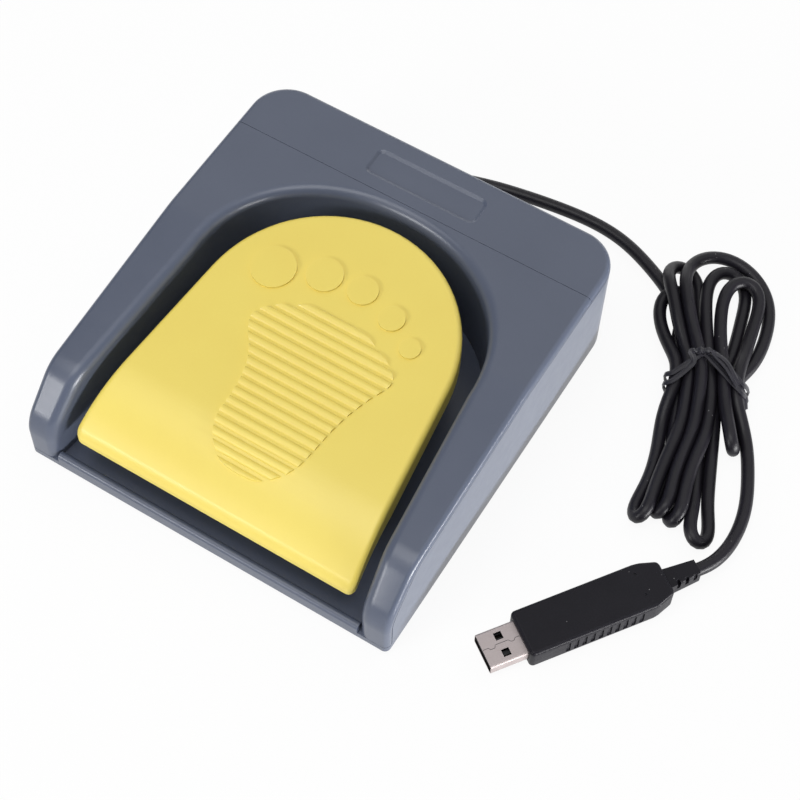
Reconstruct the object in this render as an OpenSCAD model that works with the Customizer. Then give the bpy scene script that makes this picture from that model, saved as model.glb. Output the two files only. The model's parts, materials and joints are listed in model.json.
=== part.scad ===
// Foot pedal switch with a tied cord and a plug, in millimetres.
// Origin: centre of the footprint on the floor. +X right, +Y from the front to the back, +Z up.

/* [Housing] */
// Width of the housing
body_w = 135; // [128:1:150]
// Depth of the housing, front to back
body_d = 145; // [141:1:155]
// Height of the rear cover above the floor
body_h = 42; // [40:0.5:48]
// Y where the flat top starts to slope down to the front
slope_y = 10.5; // [4:0.5:18]
// Fall of the sloping top
slope_deg = 6.3; // [5:0.1:7.5]
// Radius of the back corners in plan
corner_r = 13.5; // [9:0.5:18]
// Radius of the front corners in plan
front_corner_r = 2; // [1:0.25:3]
// Rounding of the outer top edge
edge_r = 2; // [1:0.1:2.3]
// Wall of the mouldings
wall = 2.2; // [1.8:0.1:2.8]
// Thickness of the top frame and the rear cover
plate_t = 2.5; // [2.4:0.1:3.2]
// Thickness of the floor
floor_t = 2.5; // [2:0.1:3.5]
// Shadow gap between the base and what sits on it
seam = 0.35; // [0.2:0.05:0.5]
// Gap between two mouldings that seat on each other
joint_gap = 0.15; // [0.1:0.05:0.25]
// Depth of the rear cover
cover_d = 22.8; // [20:0.2:27]
// Slope of the flat on the nose of each arm
nose_deg = 45; // [40:1:50]
// Height at which that flat meets the front
nose_z = 19.2; // [17:0.2:22]
// Blending radius of the nose
nose_r = 14; // [9:1:15]
// Thickness of the front lip
lip_t = 3; // [2:0.2:4]
// Height of the front lip above the floor
lip_h = 3.3; // [2.5:0.1:5]

/* [Label recess] */
// Width of the bare recess in the rear cover
label_w = 42; // [30:1:60]
// Depth of the recess, front to back
label_d = 11; // [7:0.5:13]
// How far the recess is sunk
label_sink = 0.7; // [0.4:0.1:1]
// Corner radius of the recess
label_r = 2.6; // [1.5:0.1:3.4]

/* [Foot well] */
// Width of the well where its arch starts
well_w = 102.4; // [98:0.4:106]
// Width of the well at the front
well_front_w = 113.8; // [110:0.4:116]
// Squareness of the arch, 2 is an ellipse
arch_power = 2.15; // [2:0.05:2.4]
// Rounding of the rim
rim_r = 3.6; // [2.5:0.1:4.2]
// Flat strip left between the rim and the rear cover
rim_land = 0.3; // [0.2:0.1:2]

/* [Pedal] */
// Gap between the pedal and the well at its sides
side_gap = 6.4; // [5:0.2:8]
// Gap between the pedal and the well at its front corners
front_gap = 4.4; // [3:0.2:6]
// Gap between the pedal and the well at its back
rear_gap = 5.3; // [4.5:0.1:8]
// Distance of the pedal's front edge behind the housing's front
setback = 4.9; // [4:0.1:8]
// Depth of the pedal below the sloping top
pedal_drop = 5; // [4:0.2:7]
// Thickness of the pedal
pedal_t = 2.6; // [2.2:0.1:3.2]
// Height of the pedal's skirt
skirt_h = 9; // [7:0.5:11]
// Height of the pedal's front edge
lip_edge = 3.6; // [3.4:0.1:4.5]
// Rounding of the pedal's top edge
pedal_edge_r = 2; // [1.2:0.1:2.1]
// Radius in plan of the pedal's front corners
pedal_corner_r = 2.4; // [2.3:0.1:3.4]
// Length of the pedal's curled front
curl_l = 26.6; // [20:0.2:30]
// Radius of the curl
curl_r = 45; // [42:1:60]
// Travel of the pedal in degrees
travel_deg = 4; // [2:0.5:4.5]

/* [Tread] */
// Distance from rib to rib
rib_pitch = 3.6; // [3.2:0.1:4.4]
// Radius of a rib
rib_r = 1.6; // [1.3:0.1:2]
// Height of the ribs above the pedal
rib_h = 0.8; // [0.5:0.1:1.1]
// Height of the toe discs above the pedal
toe_h = 0.8; // [0.4:0.1:1.2]

/* [Hinge] */
// Distance of the hinge pin in front of the pedal's back
hinge_in = 15.5; // [14:0.5:18]
// Height of the hinge pin
hinge_z = 24; // [22:0.5:25]
// Diameter of the hinge pin
pin_d = 4; // [3:0.1:5]
// Radial play of the pedal on the pin
pin_fit = 0.05; // [0.03:0.01:0.09]
// Distance from the middle to an ear of the pedal
ear_x = 14; // [13:0.5:15]
// Thickness of an ear
ear_t = 5.5; // [4.5:0.5:6]
// Thickness of a post
post_t = 5; // [4:0.5:5.5]
// Play between an ear and its post
ear_play = 0.5; // [0.4:0.1:0.8]
// Thickness of a retaining ring
ring_t = 0.8; // [0.6:0.1:1.2]

/* [Springs] */
// Distance of each spring from the middle
spring_x = 28; // [26:0.5:32]
// Distance of the springs behind the pedal's front edge
spring_back = 39.6; // [36:0.2:44]
// Mean diameter of a spring
spring_d = 10.4; // [9.6:0.1:11.4]
// Wire of a spring
wire_d = 1; // [0.8:0.1:1.2]
// Turns of a spring
spring_turns = 7; // [5:1:8]

/* [Hooks] */
// Distance of each hook from the middle
hook_x = 36; // [34:0.5:38]
// Width of a hook
hook_w = 4; // [3:0.5:5]
// Distance of the hooks behind the pedal's front edge
hook_back = 18; // [16:0.5:20]

/* [Switch] */
// Distance of the plunger in front of the hinge pin
plunger_reach = 20; // [18:0.5:21]
// Length of the switch case
switch_l = 19.8; // [18:0.2:21]
// Width of the switch case
switch_w = 6.4; // [5.8:0.2:7]
// Height of the switch case
switch_h = 10.2; // [9:0.2:10.6]
// Width of the circuit board
board_w = 34; // [32:0.5:38]
// Depth of the circuit board
board_d = 30; // [28:0.5:33]
// Thickness of the circuit board
board_t = 1.6; // [1:0.1:1.8]
// Height of the board's standoffs
standoff_h = 4; // [3:0.2:4.4]

/* [Fasteners and feet] */
// Shank diameter of a housing screw
screw_d = 2.4; // [2:0.1:2.8]
// Length of a housing screw
screw_l = 12; // [9:0.5:14]
// Diameter of a rubber foot
foot_d = 14; // [11:0.5:16]
// Height of a foot below the base
foot_h = 1.5; // [1:0.1:2.5]

/* [Cord] */
// Diameter of the cord
cord_d = 4; // [3.6:0.1:4]
// Distance from one hank turn to the next
hank_pitch = 4.6; // [4.6:0.05:4.7]
// Half length of the hank to the outer turn's middle
hank_half = 53; // [53:0.5:55]
// Wire of the twist tie
tie_d = 1.2; // [1:0.1:1.3]

/* [Plug] */
// Length of the plug's case
case_l = 50; // [46:1:52]
// Width of the plug's case
case_w = 16.2; // [15.8:0.2:17.4]
// Height of the plug's case
case_h = 9; // [8.6:0.2:9.4]
// Wall of the plug's case
case_wall = 1.5; // [1.2:0.1:1.8]
// Width of the metal shell
shell_w = 12; // [12:0.1:12.1]
// Height of the metal shell
shell_h = 4.5; // [4.5:0.05:4.6]
// Length of the shell in front of the case
shell_l = 12.5; // [11.8:0.1:13]
// Sheet of the shell
shell_t = 0.3; // [0.25:0.05:0.4]

/* [Hidden] */
$fn = 48;

grey = [0.38, 0.41, 0.46];
yellow = [0.93, 0.85, 0.42];
black = [0.1, 0.1, 0.11];
steel = [0.75, 0.75, 0.77];
gold = [0.85, 0.7, 0.35];

// Where the cord leaves the back, and how far its boot stands out
exit_x = -28;
exit_z = 9;
boot_l = 8;

eps = 0.01;
half_w = body_w / 2;
front_y = -body_d / 2;
back_y = body_d / 2;
floor_z = foot_h + floor_t;
frame_z = floor_z + joint_gap;
cover_y = back_y - cover_d;
slope = tan(slope_deg);

function unit(v) = v / norm(v);
function plane_z(y) = body_h - slope * (slope_y - y);
function top_z(y) = min(body_h, plane_z(y));

// Side outline of an arm's nose, from the floor up: [y, z, normal y, normal z]
nose_steps = 6;
facet = tan(nose_deg);
nose_y = (plane_z(0) - nose_z + front_y * facet) / (facet - slope);
nose_low = [front_y + nose_r, nose_z - nose_r * tan((90 - nose_deg) / 2)];
nose_tip = [nose_y, top_z(nose_y)] + nose_r * tan((nose_deg - slope_deg) / 2)
    * [cos(slope_deg), sin(slope_deg)];
nose_high = nose_tip - nose_r * [-sin(slope_deg), cos(slope_deg)];
function nose_pt(c, a) = [c[0] + nose_r * cos(a), c[1] + nose_r * sin(a), cos(a), sin(a)];
nose_path = concat(
    [[front_y, frame_z, -1, 0]],
    [for (i = [0:nose_steps]) nose_pt(nose_low, 180 - i * (90 - nose_deg) / nose_steps)],
    [for (i = [0:nose_steps]) nose_pt(nose_high, 90 + nose_deg - i * (nose_deg - slope_deg) / nose_steps)]);

// Well outline: splayed arms in front, a squared ellipse behind
well_arch = cover_y - rim_land - rim_r;
splay = (well_front_w - well_w) / body_d;
function arm_x(y) = well_w / 2 + splay * max(0, -y);
function arch_x(y) = well_w / 2 * pow(1 - pow(y / well_arch, arch_power), 1 / arch_power);
function arch_pt(t) = [well_w / 2 * pow(abs(cos(t)), 2 / arch_power),
    well_arch * pow(sin(t), 2 / arch_power)];
function arch_n(t) = unit([pow(abs(cos(t)), 2 - 2 / arch_power) / (well_w / 2),
                           pow(sin(t), 2 - 2 / arch_power) / well_arch]);

// Faces of a tube of n_sec sections with n points each, the ends closed
function tube_faces(n_sec, n) = concat(
    [[for (i = [n - 1:-1:0]) i]],
    [for (s = [0:n_sec - 2], i = [0:n - 1]) let (j = (i + 1) % n) [s * n + i, s * n + j, (s + 1) * n + j]],
    [for (s = [0:n_sec - 2], i = [0:n - 1]) let (j = (i + 1) % n) [s * n + i, (s + 1) * n + j,
        (s + 1) * n + i]],
    [[for (i = [0:n - 1]) (n_sec - 1) * n + i]]);

function flat_list(l) = [for (a = l, b = a) b];

// Round tube through the points of a path
function path_dir(p, i) = unit(p[min(i + 1, len(p) - 1)] - p[max(i - 1, 0)]);
function ring_at(p, t, r, n) = let (side = unit(cross(t, [0, 0, 1])), up = cross(side, t))
    [for (k = [0:n - 1]) p + r * (cos(360 * k / n) * side + sin(360 * k / n) * up)];
module tube(path, r, n) {
    rings = [for (i = [0:len(path) - 1]) ring_at(path[i], path_dir(path, i), r, n)];
    polyhedron(flat_list(rings), tube_faces(len(path), n));
}

// Least gap of a path to itself, measured on points, skipping near neighbours along it
function self_gap(p, d, skip) = min([for (i = [0:len(p) - 1], j = [i + skip:1:len(p) - 1])
    norm(p[i] - p[j])]) - d;
function dense(p, n) = [for (i = [0:len(p) - 2], k = [0:n - 1]) p[i] + (p[i + 1] - p[i]) * k / n];

module rounded_rect(w, d, r) {
    square([w, d - 2 * r], center = true);
    square([w - 2 * r, d], center = true);
    for (x = [-1, 1], y = [-1, 1]) translate([x * (w / 2 - r), y * (d / 2 - r)]) circle(r);
}

// Plan of the housing drawn in by inset
module plan(inset) {
    w = body_w - 2 * inset;
    r = corner_r - inset;
    f = max(front_corner_r - inset, 0.5);
    union() {
        translate([-w / 2, front_y + inset + f]) square([w, body_d - 2 * inset - f - r]);
        translate([-w / 2 + f, front_y + inset]) square([w - 2 * f, f + eps]);
        translate([-w / 2 + r, back_y - inset - r - eps]) square([w - 2 * r, r + eps]);
        for (s = [-1, 1]) {
            translate([s * (w / 2 - f), front_y + inset + f]) circle(f);
            translate([s * (w / 2 - r), back_y - inset - r]) circle(r);
        }
    }
}

// Solid under the top outline, that outline drawn in by inset
module under_top(inset) {
    kink = slope_y + inset * (1 / cos(slope_deg) - 1) / slope;
    rotate([90, 0, 90]) translate([0, 0, -half_w - 1]) linear_extrude(body_w + 2)
        polygon(concat([[front_y + inset, 0]],
            [for (p = nose_path) [p[0] - inset * p[2], p[1] - inset * p[3]]],
            [[kink, body_h - inset], [back_y + 1, body_h - inset], [back_y + 1, 0]]));
}

// Screws that hold the frame and the cover to the base
arm_screw_y = front_y + 26;
shoulder_screw_y = cover_y - 20;
cover_screw_x = half_w - corner_r - 16;
frame_screws = [for (s = [-1, 1]) each [
    [s * (arm_x(arm_screw_y) + half_w) / 2, arm_screw_y],
    [s * (arch_x(shoulder_screw_y) + half_w) / 2, shoulder_screw_y]]];
cover_screws = [for (s = [-1, 1]) [s * cover_screw_x, cover_y + cover_d / 2]];
boss_r = 3.1;
post_h = 5;
split_z = floor_z + post_h;
head_d = 5.2;
head_h = 1.8;
head_sink = floor_t + 0.4;
screw_hole_d = screw_d + 0.6;
pilot_d = screw_d + 0.1;
pilot_l = screw_l + 2;
head_fit = 0.8;

// Feet
foot_sink = 0.7;
foot_fit = 0.2;
foot_in = 13.5;
foot_pos = [for (x = [-1, 1], y = [-1, 1]) [x * (half_w - foot_in), y * (body_d / 2 - foot_in - 2)]];

// Pedal outline and top
pedal_r = well_w / 2 - side_gap;
pedal_apex = well_arch - rear_gap;
pedal_cy = pedal_apex - pedal_r;
pedal_front = front_y + setback;
pedal_fw = arm_x(pedal_front) - front_gap;
to_arch = [-pedal_fw, pedal_cy - pedal_front];
tangent_l = sqrt(pow(norm(to_arch), 2) - pow(pedal_r, 2));
tangent_a = atan2(to_arch[1], to_arch[0]) - asin(pedal_r / norm(to_arch));
arch_start = [pedal_fw, pedal_front] + tangent_l * [cos(tangent_a), sin(tangent_a)];
side_a = atan2(arch_start[1] - pedal_cy, arch_start[0]);
curl_y = pedal_front + curl_l;
curl_c = [curl_y + curl_r * sin(slope_deg), plane_z(curl_y) - pedal_drop - curl_r * cos(slope_deg)];
function pedal_z(y) = y >= curl_y ? plane_z(y) - pedal_drop
                                  : curl_c[1] + sqrt(pow(curl_r, 2) - pow(y - curl_c[0], 2));
function under_z(y) = pedal_z(y) - pedal_t;
function skirt_at(y) = lip_edge + (skirt_h - lip_edge) * min(1, (y - pedal_front) / curl_l);
function pedal_side_x(y) = pedal_fw + (y - pedal_front) * (arch_start[0] - pedal_fw)
    / (arch_start[1] - pedal_front);

// Right half of the pedal's outline from the front to the apex: [x, y, normal x, normal y]
corner_c = [pedal_fw - pedal_corner_r * (1 + sin(side_a)) / cos(side_a), pedal_front + pedal_corner_r];
curl_from = corner_c[1] + pedal_corner_r * sin(side_a);
curl_steps = 8;
flat_steps = 4;
arch_steps = 18;
function around(c, r, a) = [c[0] + r * cos(a), c[1] + r * sin(a), cos(a), sin(a)];
function beside(y) = [pedal_side_x(y), y, cos(side_a), sin(side_a)];
pedal_right = concat(
    [for (i = [0:3]) around(corner_c, pedal_corner_r, -90 + i * (90 + side_a) / 4)],
    [for (i = [0:curl_steps - 1]) beside(curl_from + i * (curl_y - curl_from) / curl_steps)],
    [for (i = [0:flat_steps - 1]) beside(curl_y + i * (arch_start[1] - curl_y) / flat_steps)],
    [for (i = [0:arch_steps - 1])
        around([0, pedal_cy], pedal_r, side_a + i * (90 - side_a) / (arch_steps - 0.5))]);
pedal_n = len(pedal_right);
pedal_loop = concat(pedal_right,
    [for (i = [pedal_n - 1:-1:0]) let (p = pedal_right[i]) [-p[0], p[1], -p[2], p[3]]]);

// Foot print: points round the sole, and [x, y, radius] of each toe
sole = [[-4, 4.3], [-12, 1.4], [-19, -2.8], [-22.9, -8], [-21.6, -13], [-18, -18], [-15.2, -23.2],
    [-13.8, -29],
        [-13.1, -36], [-13.2, -42.5], [-11.4, -48.4], [-8.2, -52.1], [-3.9, -55], [3, -55.8], [9.8, -54.8],
        [15.1, -50.7], [18.4, -45.2], [19.8, -37.6], [20.8, -30.5], [22.6, -22.7], [25.3, -15.2],
            [28.3, -8.3],
        [26.9, -4.4], [22.5, -1.3], [15.4, 1.9], [9.8, 3.6], [3.7, 4.5]];
toes = [[-26.2, 9, 7.5], [-10.4, 14.8, 6.1], [3.2, 16, 5.1], [16.4, 12.1, 4.4], [26.9, 5.9, 3.5]];
function turn_of(list, i) = list[(i + len(list)) % len(list)];
function between(a, b, c, d, t) = b + (c - a) * t / 2 + (2 * a - 5 * b + 4 * c - d) * t * t / 2
    + (3 * b - a - 3 * c + d) * t * t * t / 2;
sole_curve = [for (i = [0:len(sole) - 1], k = [0:2])
    between(turn_of(sole, i - 1), turn_of(sole, i), turn_of(sole, i + 1), turn_of(sole, i + 2), k / 3)];
sole_first = min([for (p = sole) p[1]]) + 0.9;
sole_last = max([for (p = sole) p[1]]) - 1.2;
sole_left = min([for (p = sole) p[0]]) - 2;
sole_right = max([for (p = sole) p[0]]) + 2;

// Hinge, hooks, springs and switch
hinge_y = pedal_apex - hinge_in;
spring_y = pedal_front + spring_back;
ear_r = pin_d / 2 + 3;
post_x = ear_x + ear_t + ear_play;
pin_half = post_x + post_t + ring_t + 0.7;
hook_y = pedal_front + hook_back;
hook_t = 3;
keeper_gap = 1.4;
keeper_t = 3;
keeper_z = floor_z + 10;
hook_play = 0.4;
foot_reach = hook_t + keeper_gap + 2;
leg_gap = 1;
leg_t = 2.2;
seat_h = 2;
spring_end = 0.2;
seat_r = spring_d / 2 + wire_d / 2 + 0.8;
spigot_r = spring_d / 2 - wire_d / 2 - 0.7;
spring_low = floor_z + seat_h + spring_end;
spring_high = under_z(spring_y) - seat_h - spring_end;
switch_y = hinge_y - plunger_reach;
board_z = floor_z + standoff_h;
board_y = switch_y - 4;
case_z = board_z + board_t;
plunger_w = 2.8;
plunger_d = 2;
plunger_fit = 0.3;
plunger_up = 1.8;
plunger_in = 1.9;
plunger_travel = plunger_reach * travel_deg * PI / 180;
plunger_top = case_z + switch_h + plunger_up;
presser_gap = 0.4;
presser_r = 1.6;
switch_off = 2.6;
board_hole_in = 3;
board_holes = [for (x = [-1, 1], y = [-1, 1]) [x * (board_w / 2 - board_hole_in),
    board_y + y * (board_d / 2 - board_hole_in)]];
board_screw_d = 2;
pin_pitch = 7.5;
terminals = [for (i = [-1:1]) switch_off + i * pin_pitch];

// Board parts: [x, y] of the middle of each
chip_pos = [7, board_y - 6];
crystal_pos = [-8, board_y - 7.5];
cap_pos = [[-1.5, board_y - 6], [-1.5, board_y - 9.5]];
header_pos = [-6, board_y + board_d / 2 - 4.5];
header_size = [8, 5, 6];

module base_shell() color(grey) difference() {
    union() {
        translate([0, 0, foot_h]) linear_extrude(floor_t) plan(0);
        intersection() {
            translate([0, 0, floor_z - eps]) linear_extrude(body_h) difference() {
                plan(0);
                plan(wall);
            }
            under_top(plate_t + seam);
        }
        front_lip();
        for (p = concat(frame_screws, cover_screws)) translate([p[0], p[1], floor_z - eps])
            cylinder(r = boss_r, h = post_h + eps);
        for (s = [-1, 1]) {
            translate([s * (post_x + post_t / 2), 0, 0]) hinge_post();
            translate([s * spring_x, spring_y, floor_z - eps]) {
                cylinder(r = seat_r, h = seat_h + eps);
                cylinder(r = spigot_r, h = seat_h + 6);
            }
            translate([s * hook_x, 0, 0]) keeper();
        }
        for (p = board_holes) translate([p[0], p[1], floor_z - eps])
            cylinder(r = board_hole_in - 0.4, h = standoff_h + eps);
    }
    for (p = concat(frame_screws, cover_screws)) translate([p[0], p[1], 0]) {
        cylinder(d = screw_hole_d, h = split_z + 1);
        cylinder(d = head_d + head_fit, h = foot_h + head_sink);
    }
    for (p = foot_pos) translate([p[0], p[1], foot_h - 1]) cylinder(d = foot_d + foot_fit, h = 1 + foot_sink);
    for (p = board_holes) translate([p[0], p[1], floor_z])
        cylinder(d = board_screw_d + 0.1, h = standoff_h + 1);
    translate([exit_x, back_y + 1, exit_z]) rotate([90, 0, 0]) cylinder(r = boot_neck_r, h = wall + 2);
    translate([0, hinge_y, hinge_z]) rotate([0, 90, 0])
        cylinder(d = pin_d + 2 * joint_gap / 3, h = 2 * pin_half, center = true);
}

// Low lip across the front of the well, with a round top
module front_lip() {
    lip_half = arm_x(front_y) - 0.4;
    translate([-lip_half, front_y, foot_h]) cube([2 * lip_half, lip_t, floor_t + lip_h - lip_t / 2]);
    translate([-lip_half, front_y + lip_t / 2, floor_z + lip_h - lip_t / 2]) rotate([0, 90, 0])
        cylinder(d = lip_t, h = 2 * lip_half);
}

// Tapered post that holds the pin
module hinge_post() {
    foot = 2 * ear_r + 6;
    rotate([90, 0, 90]) translate([0, 0, -post_t / 2]) linear_extrude(post_t) {
        translate([hinge_y, hinge_z]) circle(ear_r);
        polygon([[hinge_y - foot / 2, floor_z - eps], [hinge_y + foot / 2, floor_z - eps],
                 [hinge_y + ear_r, hinge_z], [hinge_y - ear_r, hinge_z]]);
    }
}

// Bridge that a hook of the pedal catches under
module keeper() {
    y = hook_y + hook_t + keeper_gap;
    w = hook_w + 2 * leg_gap + 2 * leg_t;
    for (s = [-1, 1]) translate([s * (w - leg_t) / 2 - leg_t / 2, y, floor_z - eps])
        cube([leg_t, keeper_t, keeper_z - floor_z + keeper_t]);
    translate([-w / 2, y, keeper_z]) cube([w, keeper_t, keeper_t]);
}

// Section of the frame across an arm, its wall standing at wall_y on the floor
edge_cuts = 4;
rim_cuts = 5;
function along(x, p, deep) = [x, p[0] - deep * p[2], p[1] - deep * p[3]];
function outer_edge(p) = concat(
    [along(half_w, p, plate_t)],
    [for (i = [0:edge_cuts]) let (a = 90 * i / edge_cuts)
        along(half_w - edge_r * (1 - cos(a)), p, edge_r * (1 - sin(a)))]);
function arm_section(p, wall_y) = concat(
    outer_edge(p),
    [for (i = [0:rim_cuts]) let (a = 90 * i / rim_cuts, deep = rim_r * (1 - cos(a)))
        along(arm_x(p[0] - deep * p[2]) + rim_r * (1 - sin(a)), p, deep)],
    [[arm_x(wall_y), wall_y, frame_z], [arm_x(wall_y) + wall, wall_y, frame_z],
     along(arm_x(p[0] - plate_t * p[2]) + wall, p, plate_t)]);

// Section of the frame across the arch, reaching back to the seam
seam_y = cover_y - joint_gap;
corner_t = 48;
function rim_y(t) = arch_pt(t)[1] + rim_r * arch_n(t)[1];
function outer_y(t) = rim_y(t) <= slope_y ? rim_y(t)
    : slope_y + (rim_y(t) - slope_y) * (seam_y - slope_y) / (rim_y(corner_t) - slope_y);
function back_edge(x) = concat([[x, seam_y, body_h - plate_t]],
    [for (i = [0:edge_cuts]) [x, seam_y, body_h - edge_r * (1 - sin(90 * i / edge_cuts))]]);
function slope_pt(y) = y < slope_y ? [y, top_z(y), -sin(slope_deg), cos(slope_deg)] : [y, body_h, 0, 1];
function raised(q, drop) = [q[0], q[1], top_z(q[1]) - drop];
function arch_section(t) = let (p = arch_pt(t), n = arch_n(t)) concat(
    t <= corner_t ? outer_edge(slope_pt(outer_y(t))) : back_edge(half_w * (90 - t) / (90 - corner_t)),
    [for (i = [0:rim_cuts]) let (a = 90 * i / rim_cuts)
        raised(p + n * rim_r * (1 - sin(a)), rim_r * (1 - cos(a)))],
    [[p[0], p[1], frame_z], concat(p + n * wall, [frame_z]), raised(p + n * wall, plate_t)]);

arch_cuts = 30;
wall_from = front_y + 8;
nose_last = len(nose_path) - 1;
frame_right = concat(
    [for (i = [0:nose_last]) arm_section(nose_path[i],
        wall_from + (nose_tip[0] - wall_from) * i / nose_last)],
    [for (i = [1:3]) let (y = nose_tip[0] * (1 - i / 4)) arm_section(slope_pt(y), y)],
    [for (i = [0:arch_cuts]) arch_section(90 * i / arch_cuts)]);
frame_n = len(frame_right);
function flipped(sec) = [for (q = sec) [-q[0], q[1], q[2]]];
frame_sections = concat(frame_right, [for (i = [frame_n - 2:-1:0]) flipped(frame_right[i])]);

module screw_boss(p, top) translate([p[0], p[1], split_z + joint_gap])
    cylinder(r = boss_r, h = top - split_z - joint_gap - plate_t / 2);
module screw_pilot(p) translate([p[0], p[1], split_z - 1]) cylinder(d = pilot_d, h = pilot_l);

notch_w = 12;
notch_h = 8;
lead_x = -17;
module top_frame() color(grey) difference() {
    union() {
        polyhedron(flat_list(frame_sections), tube_faces(len(frame_sections), len(frame_sections[0])));
        for (p = frame_screws) screw_boss(p, top_z(p[1]));
    }
    for (p = frame_screws) screw_pilot(p);
    translate([lead_x - notch_w / 2, 0, 0]) cube([notch_w, cover_y - wall, frame_z + notch_h]);
}

module rear_cover() color(grey) difference() {
    union() {
        rounded_top();
        for (p = cover_screws) screw_boss(p, body_h);
    }
    for (p = cover_screws) screw_pilot(p);
    label_recess();
}

// Flat top plate of the whole plan with its outer edge rounded
module rounded_top() {
    inner = half_w - corner_r;
    turn_y = back_y - corner_r;
    translate([-inner - eps, cover_y, body_h - plate_t])
        cube([2 * inner + 2 * eps, turn_y - cover_y + eps, plate_t]);
    for (s = [0, 1]) mirror([s, 0, 0]) {
        translate([inner, turn_y, 0]) rotate([90, 0, 0]) linear_extrude(turn_y - cover_y) top_edge();
        translate([inner, turn_y, 0]) intersection() {
            rotate_extrude() top_edge();
            cube([body_w, body_d, 2 * body_h]);
        }
    }
    translate([-inner, turn_y, 0]) rotate([90, 0, 90]) linear_extrude(2 * inner) top_edge();
}

// Section of that plate from a corner's middle outwards
module top_edge() polygon(concat([[0, body_h - plate_t], [corner_r, body_h - plate_t]],
    [for (i = [0:5]) let (a = 18 * i) [corner_r - edge_r * (1 - cos(a)), body_h - edge_r * (1 - sin(a))]],
        [[0, body_h]]));

// Shallow recess with sloping sides
module label_recess() {
    middle = cover_y + cover_d * 0.445;
    hull() for (x = [-1, 1], y = [-1, 1])
        translate([x * (label_w / 2 - label_r), middle + y * (label_d / 2 - label_r), body_h - label_sink])
            cylinder(r1 = label_r - 1.1, r2 = label_r + 0.2, h = label_sink + 0.1, $fn = 24);
}

module rubber_feet() color(black) for (p = foot_pos) translate([p[0], p[1], 0]) {
    cylinder(r1 = foot_d / 2 - 0.5, r2 = foot_d / 2, h = 0.5);
    translate([0, 0, 0.5 - eps]) cylinder(d = foot_d, h = foot_h + foot_sink - 0.5 + eps);
}

// Pan-head screw standing on its head, with a cross in it
module screw(d, l, hd, hh) difference() {
    union() {
        cylinder(d = hd, h = hh);
        cylinder(d = d, h = hh + l);
    }
    for (a = [0, 90]) rotate(a) translate([0, 0, hh / 4]) cube([hd * 0.55, hd * 0.15, hh], center = true);
}
module housing_screws() color(steel) for (p = concat(frame_screws, cover_screws))
    translate([p[0], p[1], foot_h + head_sink - head_h]) screw(screw_d, screw_l, head_d, head_h);

// Closed shell of the pedal: rings from the underside round the skirt to the top
pedal_cuts = 4;
skirt_t = min(pedal_t, pedal_corner_r - 0.3);
function inset_pt(p, e) = [p[0] - e * p[2], p[1] - e * p[3]];
function skirt_end(p) = pedal_z(p[1]) - skirt_at(p[1]);
pedal_rings = concat(
    [[for (p = pedal_loop) let (q = inset_pt(p, skirt_t)) [q[0], q[1], under_z(q[1])]],
     [for (p = pedal_loop) let (q = inset_pt(p, skirt_t)) [q[0], q[1],
         min(skirt_end(p), under_z(q[1]) - 0.2)]],
     [for (p = pedal_loop) [p[0], p[1], skirt_end(p)]]],
    [for (i = [0:pedal_cuts]) let (a = 90 * i / pedal_cuts)
        [for (p = pedal_loop) let (q = inset_pt(p, pedal_edge_r * (1 - cos(a))))
            [q[0], q[1], pedal_z(q[1]) - pedal_edge_r * (1 - sin(a))]]]);
loop_n = 2 * pedal_n;
last_ring = (len(pedal_rings) - 1) * loop_n;
function mate(i) = loop_n - 1 - i;
pedal_faces = concat(
    [for (r = [0:len(pedal_rings) - 2], i = [0:loop_n - 1]) let (j = (i + 1) % loop_n)
        [r * loop_n + i, (r + 1) * loop_n + i, (r + 1) * loop_n + j]],
    [for (r = [0:len(pedal_rings) - 2], i = [0:loop_n - 1]) let (j = (i + 1) % loop_n)
        [r * loop_n + i, (r + 1) * loop_n + j, r * loop_n + j]],
    [for (i = [0:pedal_n - 2]) [i, i + 1, mate(i + 1)]],
    [for (i = [0:pedal_n - 2]) [i, mate(i + 1), mate(i)]],
    [for (i = [0:pedal_n - 2]) [last_ring + i, last_ring + mate(i), last_ring + mate(i + 1)]],
    [for (i = [0:pedal_n - 2]) [last_ring + i, last_ring + mate(i + 1), last_ring + i + 1]]);

sink = 0.8;
module pedal() color(yellow) difference() {
    union() {
        polyhedron(flat_list(pedal_rings), pedal_faces);
        tread();
        for (s = [-1, 1]) {
            translate([s * (ear_x + ear_t / 2), 0, 0]) pedal_ear();
            translate([s * hook_x, 0, 0]) pedal_hook();
            translate([s * spring_x, spring_y, under_z(spring_y) - seat_h])
                cylinder(r = seat_r, h = seat_h + sink);
            translate([s * spring_x, spring_y, under_z(spring_y) - seat_h - 3])
                cylinder(r = spigot_r, h = seat_h + 3);
        }
        translate([0, switch_y, plunger_top + presser_gap])
            cylinder(r = presser_r, h = under_z(switch_y) - plunger_top - presser_gap + sink);
    }
    translate([0, hinge_y, hinge_z]) rotate([0, 90, 0])
        cylinder(d = pin_d + 2 * pin_fit, h = 2 * pin_half, center = true);
}

// Raised foot print: ribs across the sole and a disc for each toe
module tread() {
    intersection() {
        for (y = [sole_first:rib_pitch:sole_last])
            translate([sole_left, y, pedal_z(y) + rib_h - rib_r]) rotate([0, 90, 0])
                cylinder(r = rib_r, h = sole_right - sole_left, $fn = 24);
        translate([0, 0, pedal_z(sole_first) - 2 * rib_r]) linear_extrude(5 * rib_r + sole_last - sole_first)
            polygon(sole_curve);
    }
    for (t = toes) translate([t[0], t[1], pedal_z(t[1])]) rotate([slope_deg, 0, 0]) translate([0, 0, -sink])
        cylinder(r = t[2], h = toe_h + sink);
}

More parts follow.
